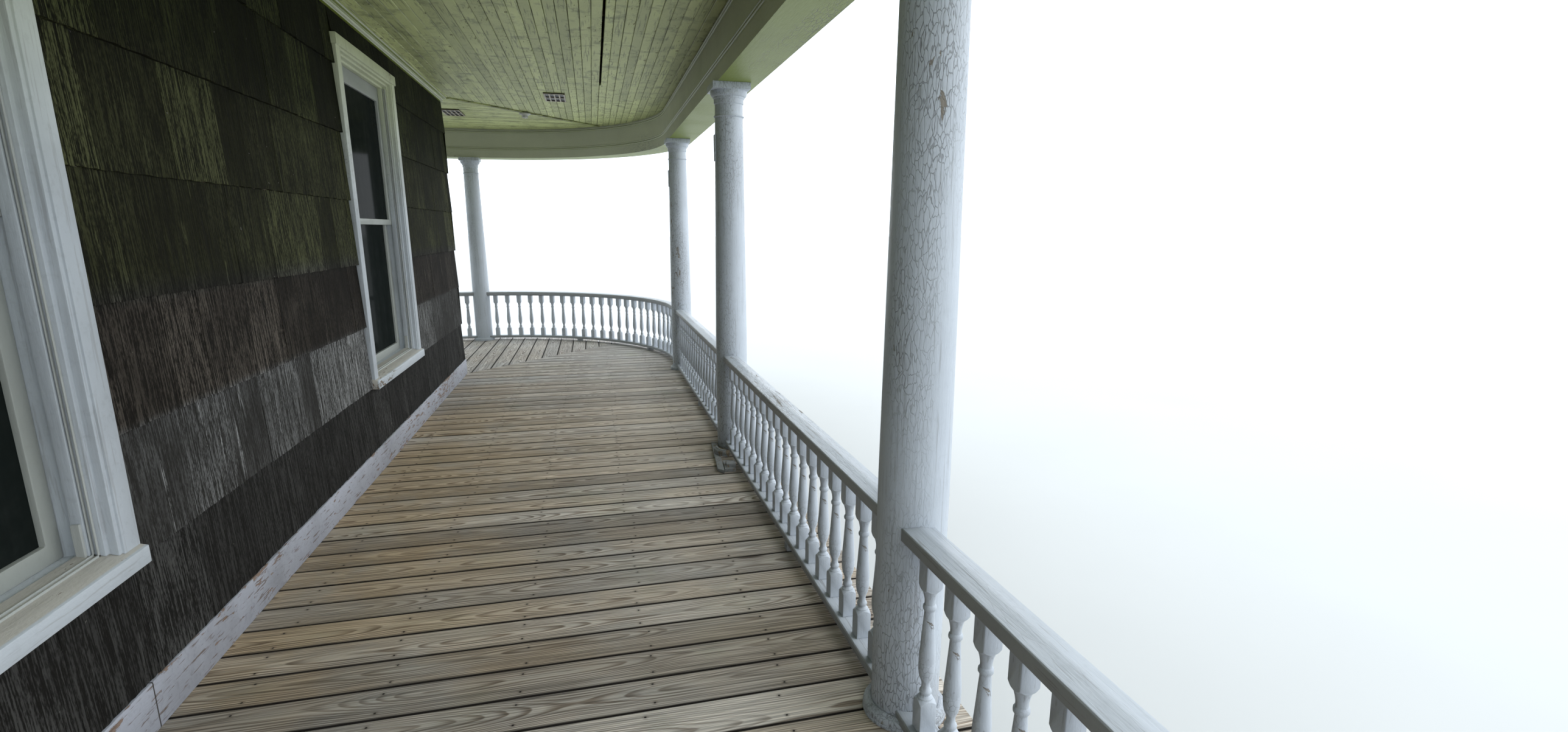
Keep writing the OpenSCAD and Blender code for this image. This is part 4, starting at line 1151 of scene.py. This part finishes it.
class PORCH_OT_windows(bpy.types.Operator):
    """Finishes casings, sashes, panes and sills"""
    bl_idname = "porch.windows"
    bl_label = "Windows"

    def execute(self, context):
        dressed("window_casings", "trim", "peeling_white", "z", 0.0025)
        dressed("window_sashes", "sash", "window_paint", "z", 0.003)
        dressed("window_sills", "sill", "sill_paint", "wall", 0.003)
        dressed("window_glass", "glass", "window_glass", "z", 0.0006, 1)
        self.tracks()
        return {"FINISHED"}

    def tracks(self):
        """Screen tracks on the jambs and sills, and the stop blocks at the jambs' feet."""
        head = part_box("window_sashes")[1].z - 0.012
        upright = [(near, near + 0.004, 0.0, 0.007, head) for near in RIBS]
        upright.append((-0.048, -0.028, 0.011, 0.020, SILL_TOP + 0.085))
        rows = []
        for low, high in places("window_sashes", WINDOW_REACH):
            side = low.y < -1.0
            a, b = (low.y, high.y) if side else (low.x, high.x)
            bars = []
            for edge, way in ((a, 1), (b, -1)):
                for near, far, start, end, top in upright:
                    left, right = sorted((edge + way * start, edge + way * end))
                    bars.append(((near, left, self.rest(far) - 0.001), (far, right, top)))
            for near in RIBS:
                rest = self.rest(near)
                bars.append(((near, a, rest - 0.003), (near + 0.004, b, rest + 0.005)))
            for start, end in bars:
                bar = block("track", swapped(side, start), swapped(side, end))
                rows.append(eased(bar, 0.001, segments=1))
        piece = lay(toned(joined("window_tracks", rows), 0.5), "z")
        settled(smoothed(piece), "track", "window_paint")

    def rest(self, out):
        """Height of the sloping sill at a distance from the wall's face."""
        return SILL_TOP - SILL_SLOPE * (out - SILL_START)


class PORCH_OT_columns(bpy.types.Operator):
    """Finishes shafts, capitals, bases and cleats"""
    bl_idname = "porch.columns"
    bl_label = "Columns"

    def execute(self, context):
        for node, ease in (("column_shafts", 0.0), ("column_capitals", 0.0015), ("column_bases", 0.003),
                           ("broken_base", 0.002), ("column_cleats", 0.0015)):
            dressed(node, "old" if node == "broken_base" else "column", "column_paint", "z", ease)
        return {"FINISHED"}


class PORCH_OT_balustrade(bpy.types.Operator):
    """Finishes the rails and turns the balusters"""
    bl_idname = "porch.balustrade"
    bl_label = "Rails and balusters"

    def execute(self, context):
        for part in SIDES:
            dressed("top_rail_" + part, "rail", "rail_paint", "sweep", 0.003)
            dressed("foot_rail_" + part, "rail", "rail_paint", "sweep", 0.002)
        dressed("rail_blocks", "rail", "rail_paint", "z", 0.002)
        first = self.baluster()
        for part in SIDES:
            rng = random.Random(41)
            node = "balusters_" + part
            made = []
            for low, high in places(node, 0.06):
                x, y = (low + high) / 2
                curved = part == "corner" and y > CENTRE_Y
                turn = math.atan2(y - CENTRE_Y, x - CENTRE_X) if curved else 0.0
                place = Matrix.Translation((x, y, 0)) @ Matrix.Rotation(turn, 4, "Z")
                made.append(toned(copied(first, "baluster", place), rng.random()))
            settled(smoothed(joined("turned_" + node, made), 40), "turned", "rail_paint", node)
        dropped(first)
        return {"FINISHED"}

    def baluster(self):
        """One turned baluster: two blocks with rounded shoulders, and a turned vase between them."""
        low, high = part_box("balusters_side")
        half = (high.x - low.x) / 2
        vase = 0.023
        foot, head = low.z, high.z
        start, end = foot + 0.100, head - 0.097
        corner = 1.45 * half
        shoulder = [(1.45, 0.019), (1.36, 0.013), (1.2, 0.007), (1.0, 0.003), (0.9, 0)]
        lower = block("lower_block", (-half, -half, foot), (half, half, start))
        upper = block("upper_block", (-half, -half, end), (half, half, head))
        below = [(half * r, start - z) for r, z in shoulder]
        above = [(half * r, end + z) for r, z in shoulder[::-1]]
        cut(eased(lower, 0.0015, segments=1), spun("shoulder", [(corner, foot - 0.01)] + below))
        cut(eased(upper, 0.0015, segments=1), spun("shoulder", above + [(corner, head + 0.01)]))
        profile = (
            (half, ((0.88, 0.0), (0.87, 0.010), (0.72, 0.020), (0.58, 0.032), (0.64, 0.046), (0.72, 0.058),
                    (0.70, 0.072), (0.60, 0.084))),
            (vase, ((0.54, 0.096), (0.50, 0.122), (0.54, 0.150), (0.80, 0.195), (0.93, 0.24), (0.99, 0.30),
                    (1.0, 0.332), (0.955, 0.342), (1.0, 0.352), (0.965, 0.42), (0.84, 0.54), (0.72, 0.68),
                    (0.60, 0.812), (0.62, 0.824), (0.77, 0.836), (0.80, 0.852), (0.77, 0.868), (0.62, 0.880),
                    (0.62, 0.915), (0.72, 0.955))),
            (half, ((0.80, 0.985), (0.88, 1.0))))
        turning = spun("turning", [(wide * r, start + (end - start) * share)
                                   for wide, steps in profile for r, share in steps])
        return lay(joined("baluster", [lower, upper, turning]), "z")


class PORCH_OT_beam(bpy.types.Operator):
    """Finishes the beam and its header"""
    bl_idname = "porch.beam"
    bl_label = "Beam"

    def execute(self, context):
        for part in SIDES:
            dressed("beam_" + part, "green", "green_paint", "sweep", 0.0)
        dressed("beam_header", "framing", "frame_wood", "sweep", 0.0)
        return {"FINISHED"}


class PORCH_OT_ceiling(bpy.types.Operator):
    """Lays the ceiling's grooved boards, and finishes batten, vents and lamp base"""
    bl_idname = "porch.ceiling"
    bl_label = "Ceiling"

    def execute(self, context):
        pitch = context.scene.porch_sizes.ceiling_pitch
        for part, run, turn, seed in (("side", 1, math.pi / 2, 51), ("front", 0, 0.0, 52)):
            node, name = "ceiling_" + part, "ceiling_boards_" + part
            rng = random.Random(seed)
            low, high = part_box(node)
            row = 1 - run
            long = high[run] - low[run] + 0.02
            first = plank(name, long, pitch - 0.0008, CEILING_TOP - CEILING_Z, 0.0028, under=True)
            made = []
            for i in range(math.ceil((high[row] - low[row]) / pitch)):
                across = low[row] + (i + 0.5) * pitch
                ends = [0.0, *sorted(rng.uniform(0.2, long - 0.2) for _ in range(rng.randint(1, 3))), long]
                shrunk = part == "side" and abs(across - GAP_X) < pitch / 2
                if shrunk:
                    ends = [0.0, GAP_START - low.y, GAP_END - low.y, long]
                for a, b in zip(ends, ends[1:]):
                    share = 0.78 if shrunk and 0 < a and b < long else rng.uniform(0.965, 1.0)
                    spot = Vector((0, 0, CEILING_TOP + rng.uniform(0.0002, 0.0022)))
                    spot[run] = low[run] - 0.01 + a
                    spot[row] = across + ((1 - share) * pitch / 2 if shrunk else 0.0)
                    place = Matrix.Translation(spot) @ Matrix.Rotation(turn, 4, "Z")
                    place = place @ Matrix.Diagonal(((b - a - 0.002) / long, share, 1, 1))
                    made.append(toned(copied(first, name, place), rng.random()))
            dropped(first)
            piece = cut(joined(name, made), traced("cutter", node))
            settled(smoothed(piece, 30), "ceiling", "ceiling_paint", node)
        dressed("ceiling_batten", "ceiling", "ceiling_paint", "x", 0.002)
        dressed("ceiling_vents", "vent", "brown_vent", "x", 0.001)
        dressed("lamp_base", "lamp", "lamp_shell", "z", 0.001)
        return {"FINISHED"}


class PORCH_OT_roof(bpy.types.Operator):
    """Covers the roof with tabs in courses, and finishes rafters and fascia"""
    bl_idname = "porch.roof"
    bl_label = "Roof"

    def execute(self, context):
        sizes = context.scene.porch_sizes
        deep = 0.012
        tab = self.tab(sizes.tab_exposure, deep)
        for part, turn, along in (("side", 0.0, CENTRE_Y - END_Y), ("corner", None, 0.0),
                                  ("front", math.pi / 2, CENTRE_X - END_X)):
            node = "roof_" + part
            core = shifted(traced(node + "_boards", node), self.on_top, (0, 0, -deep))
            settled(smoothed(toned(lay(core, "sweep"), 0.3)), "roof", "roofing", node)
            made = self.tabs(tab, turn, along, deep, sizes)
            settled(smoothed(joined(node + "_tabs", made)), "roof", "roofing", node)
        dropped(tab)
        self.flashing(deep)
        dressed("rafters", "framing", "frame_wood", "wall", 0.003)
        dressed("eave_fascia", "outer", "peeling_white", "sweep", 0.002)
        return {"FINISHED"}

    def on_top(self, v):
        """Whether a point belongs to the roof's upper face."""
        far = math.hypot(max(v.co.x - CENTRE_X, 0), max(v.co.y - CENTRE_Y, 0))
        return v.co.z > ROOF_TOP - ROOF_FALL * far - 0.02

    def tab(self, exposure, thick):
        """One roof tab, a metre wide before it is scaled: thick at its butt, thin at its head."""
        piece = block("tab", (-exposure, -0.5, 0), (0, 0.5, thick))
        shifted(piece, lambda v: v.co.x < -exposure / 2 and v.co.z > thick / 2, (0, 0, -0.75 * thick))
        return eased(piece, 0.002, lambda edge: edge_along(edge, 1) and edge.verts[0].co.x > -0.001
                     and edge.verts[0].co.z > thick / 2, 1)

    def tabs(self, tab, turn, along, deep, sizes):
        """Courses of tabs from the eave up, with their joints broken. The corner's have no length along."""
        rng = random.Random(61)
        reach = EAVE - CENTRE_X
        made = []
        for row in range(math.ceil(reach / sizes.tab_exposure)):
            far = reach - 0.006 - row * sizes.tab_exposure
            whole = along or far * math.pi / 2
            count = max(1, round(whole / sizes.tab_width))
            wide = whole / count
            shift = 0.5 * (row % 2)
            for i in range(count + row % 2):
                a, b = max(0.0, (i - shift) * wide), min(whole, (i + 1 - shift) * wide)
                if b - a < 0.03:
                    continue
                middle = (a + b) / 2
                if along:
                    out = (far, middle if turn else -middle, 0)
                    place = Matrix.Rotation(turn, 4, "Z") @ Matrix.Translation(out)
                else:
                    place = Matrix.Rotation(middle / far, 4, "Z") @ Matrix.Translation((far, 0, 0))
                foot = (CENTRE_X, CENTRE_Y, ROOF_TOP - deep - ROOF_FALL * far)
                place = Matrix.Translation(foot) @ place
                place = place @ Matrix.Rotation(math.atan(ROOF_FALL), 4, "Y")
                share = min(1.0, far / sizes.tab_exposure)
                place = place @ Matrix.Diagonal((share, b - a - 0.004, rng.uniform(0.8, 1.0), 1))
                made.append(toned(copied(tab, "tab", place), rng.random()))
        return made

    def flashing(self, deep):
        """A folded metal strip over the heads of the top tabs, along both walls."""
        wide = 0.075
        for part, axis, low, high in (
                ("side", 0, (CENTRE_X, END_Y), (CENTRE_X + wide, CENTRE_Y)),
                ("front", 1, (END_X, CENTRE_Y), (CENTRE_X + wide, CENTRE_Y + wide))):
            piece = block("flashing_" + part, (*low, ROOF_TOP - deep - 0.004), (*high, ROOF_TOP))
            outer = high[axis] - 0.001
            shifted(piece, lambda v: v.co[axis] > outer, (0, 0, -ROOF_FALL * wide))
            eased(piece, 0.003, lambda edge: edge_along(edge, 1 - axis) and edge.verts[0].co[axis] > outer)
            settled(smoothed(lay(piece, "yx"[axis])), "flashing", "roofing", "roof_" + part)


class PORCH_PT_panel(bpy.types.Panel):
    """Lists the porch's pieces in the order in which they are made"""
    bl_idname = "PORCH_PT_panel"
    bl_label = "Porch Corner"
    bl_space_type = "VIEW_3D"
    bl_region_type = "UI"
    bl_category = "Porch"

    def draw(self, context):
        for step in STEPS:
            self.layout.operator(step.bl_idname)
        for group in (context.scene.porch_sizes, context.scene.porch_colours, context.scene.porch_view):
            for name in group.__annotations__:
                self.layout.prop(group, name)


STEPS = (PORCH_OT_stage, PORCH_OT_floor, PORCH_OT_framing, PORCH_OT_shingles, PORCH_OT_walls,
         PORCH_OT_windows, PORCH_OT_columns, PORCH_OT_balustrade, PORCH_OT_beam, PORCH_OT_ceiling,
         PORCH_OT_roof)
CLASSES = (PorchSizes, PorchColours, PorchView, *STEPS, PORCH_PT_panel)


def register():
    for item in CLASSES:
        bpy.utils.register_class(item)
    bpy.types.Scene.porch_sizes = PointerProperty(type=PorchSizes)
    bpy.types.Scene.porch_colours = PointerProperty(type=PorchColours)
    bpy.types.Scene.porch_view = PointerProperty(type=PorchView)


def unregister():
    del bpy.types.Scene.porch_view
    del bpy.types.Scene.porch_colours
    del bpy.types.Scene.porch_sizes
    for item in reversed(CLASSES):
        bpy.utils.unregister_class(item)


def main():
    register()
    for step in STEPS:
        name = step.bl_idname.split(".")[1]
        getattr(bpy.ops.porch, name)()


if __name__ == "__main__":
    main()
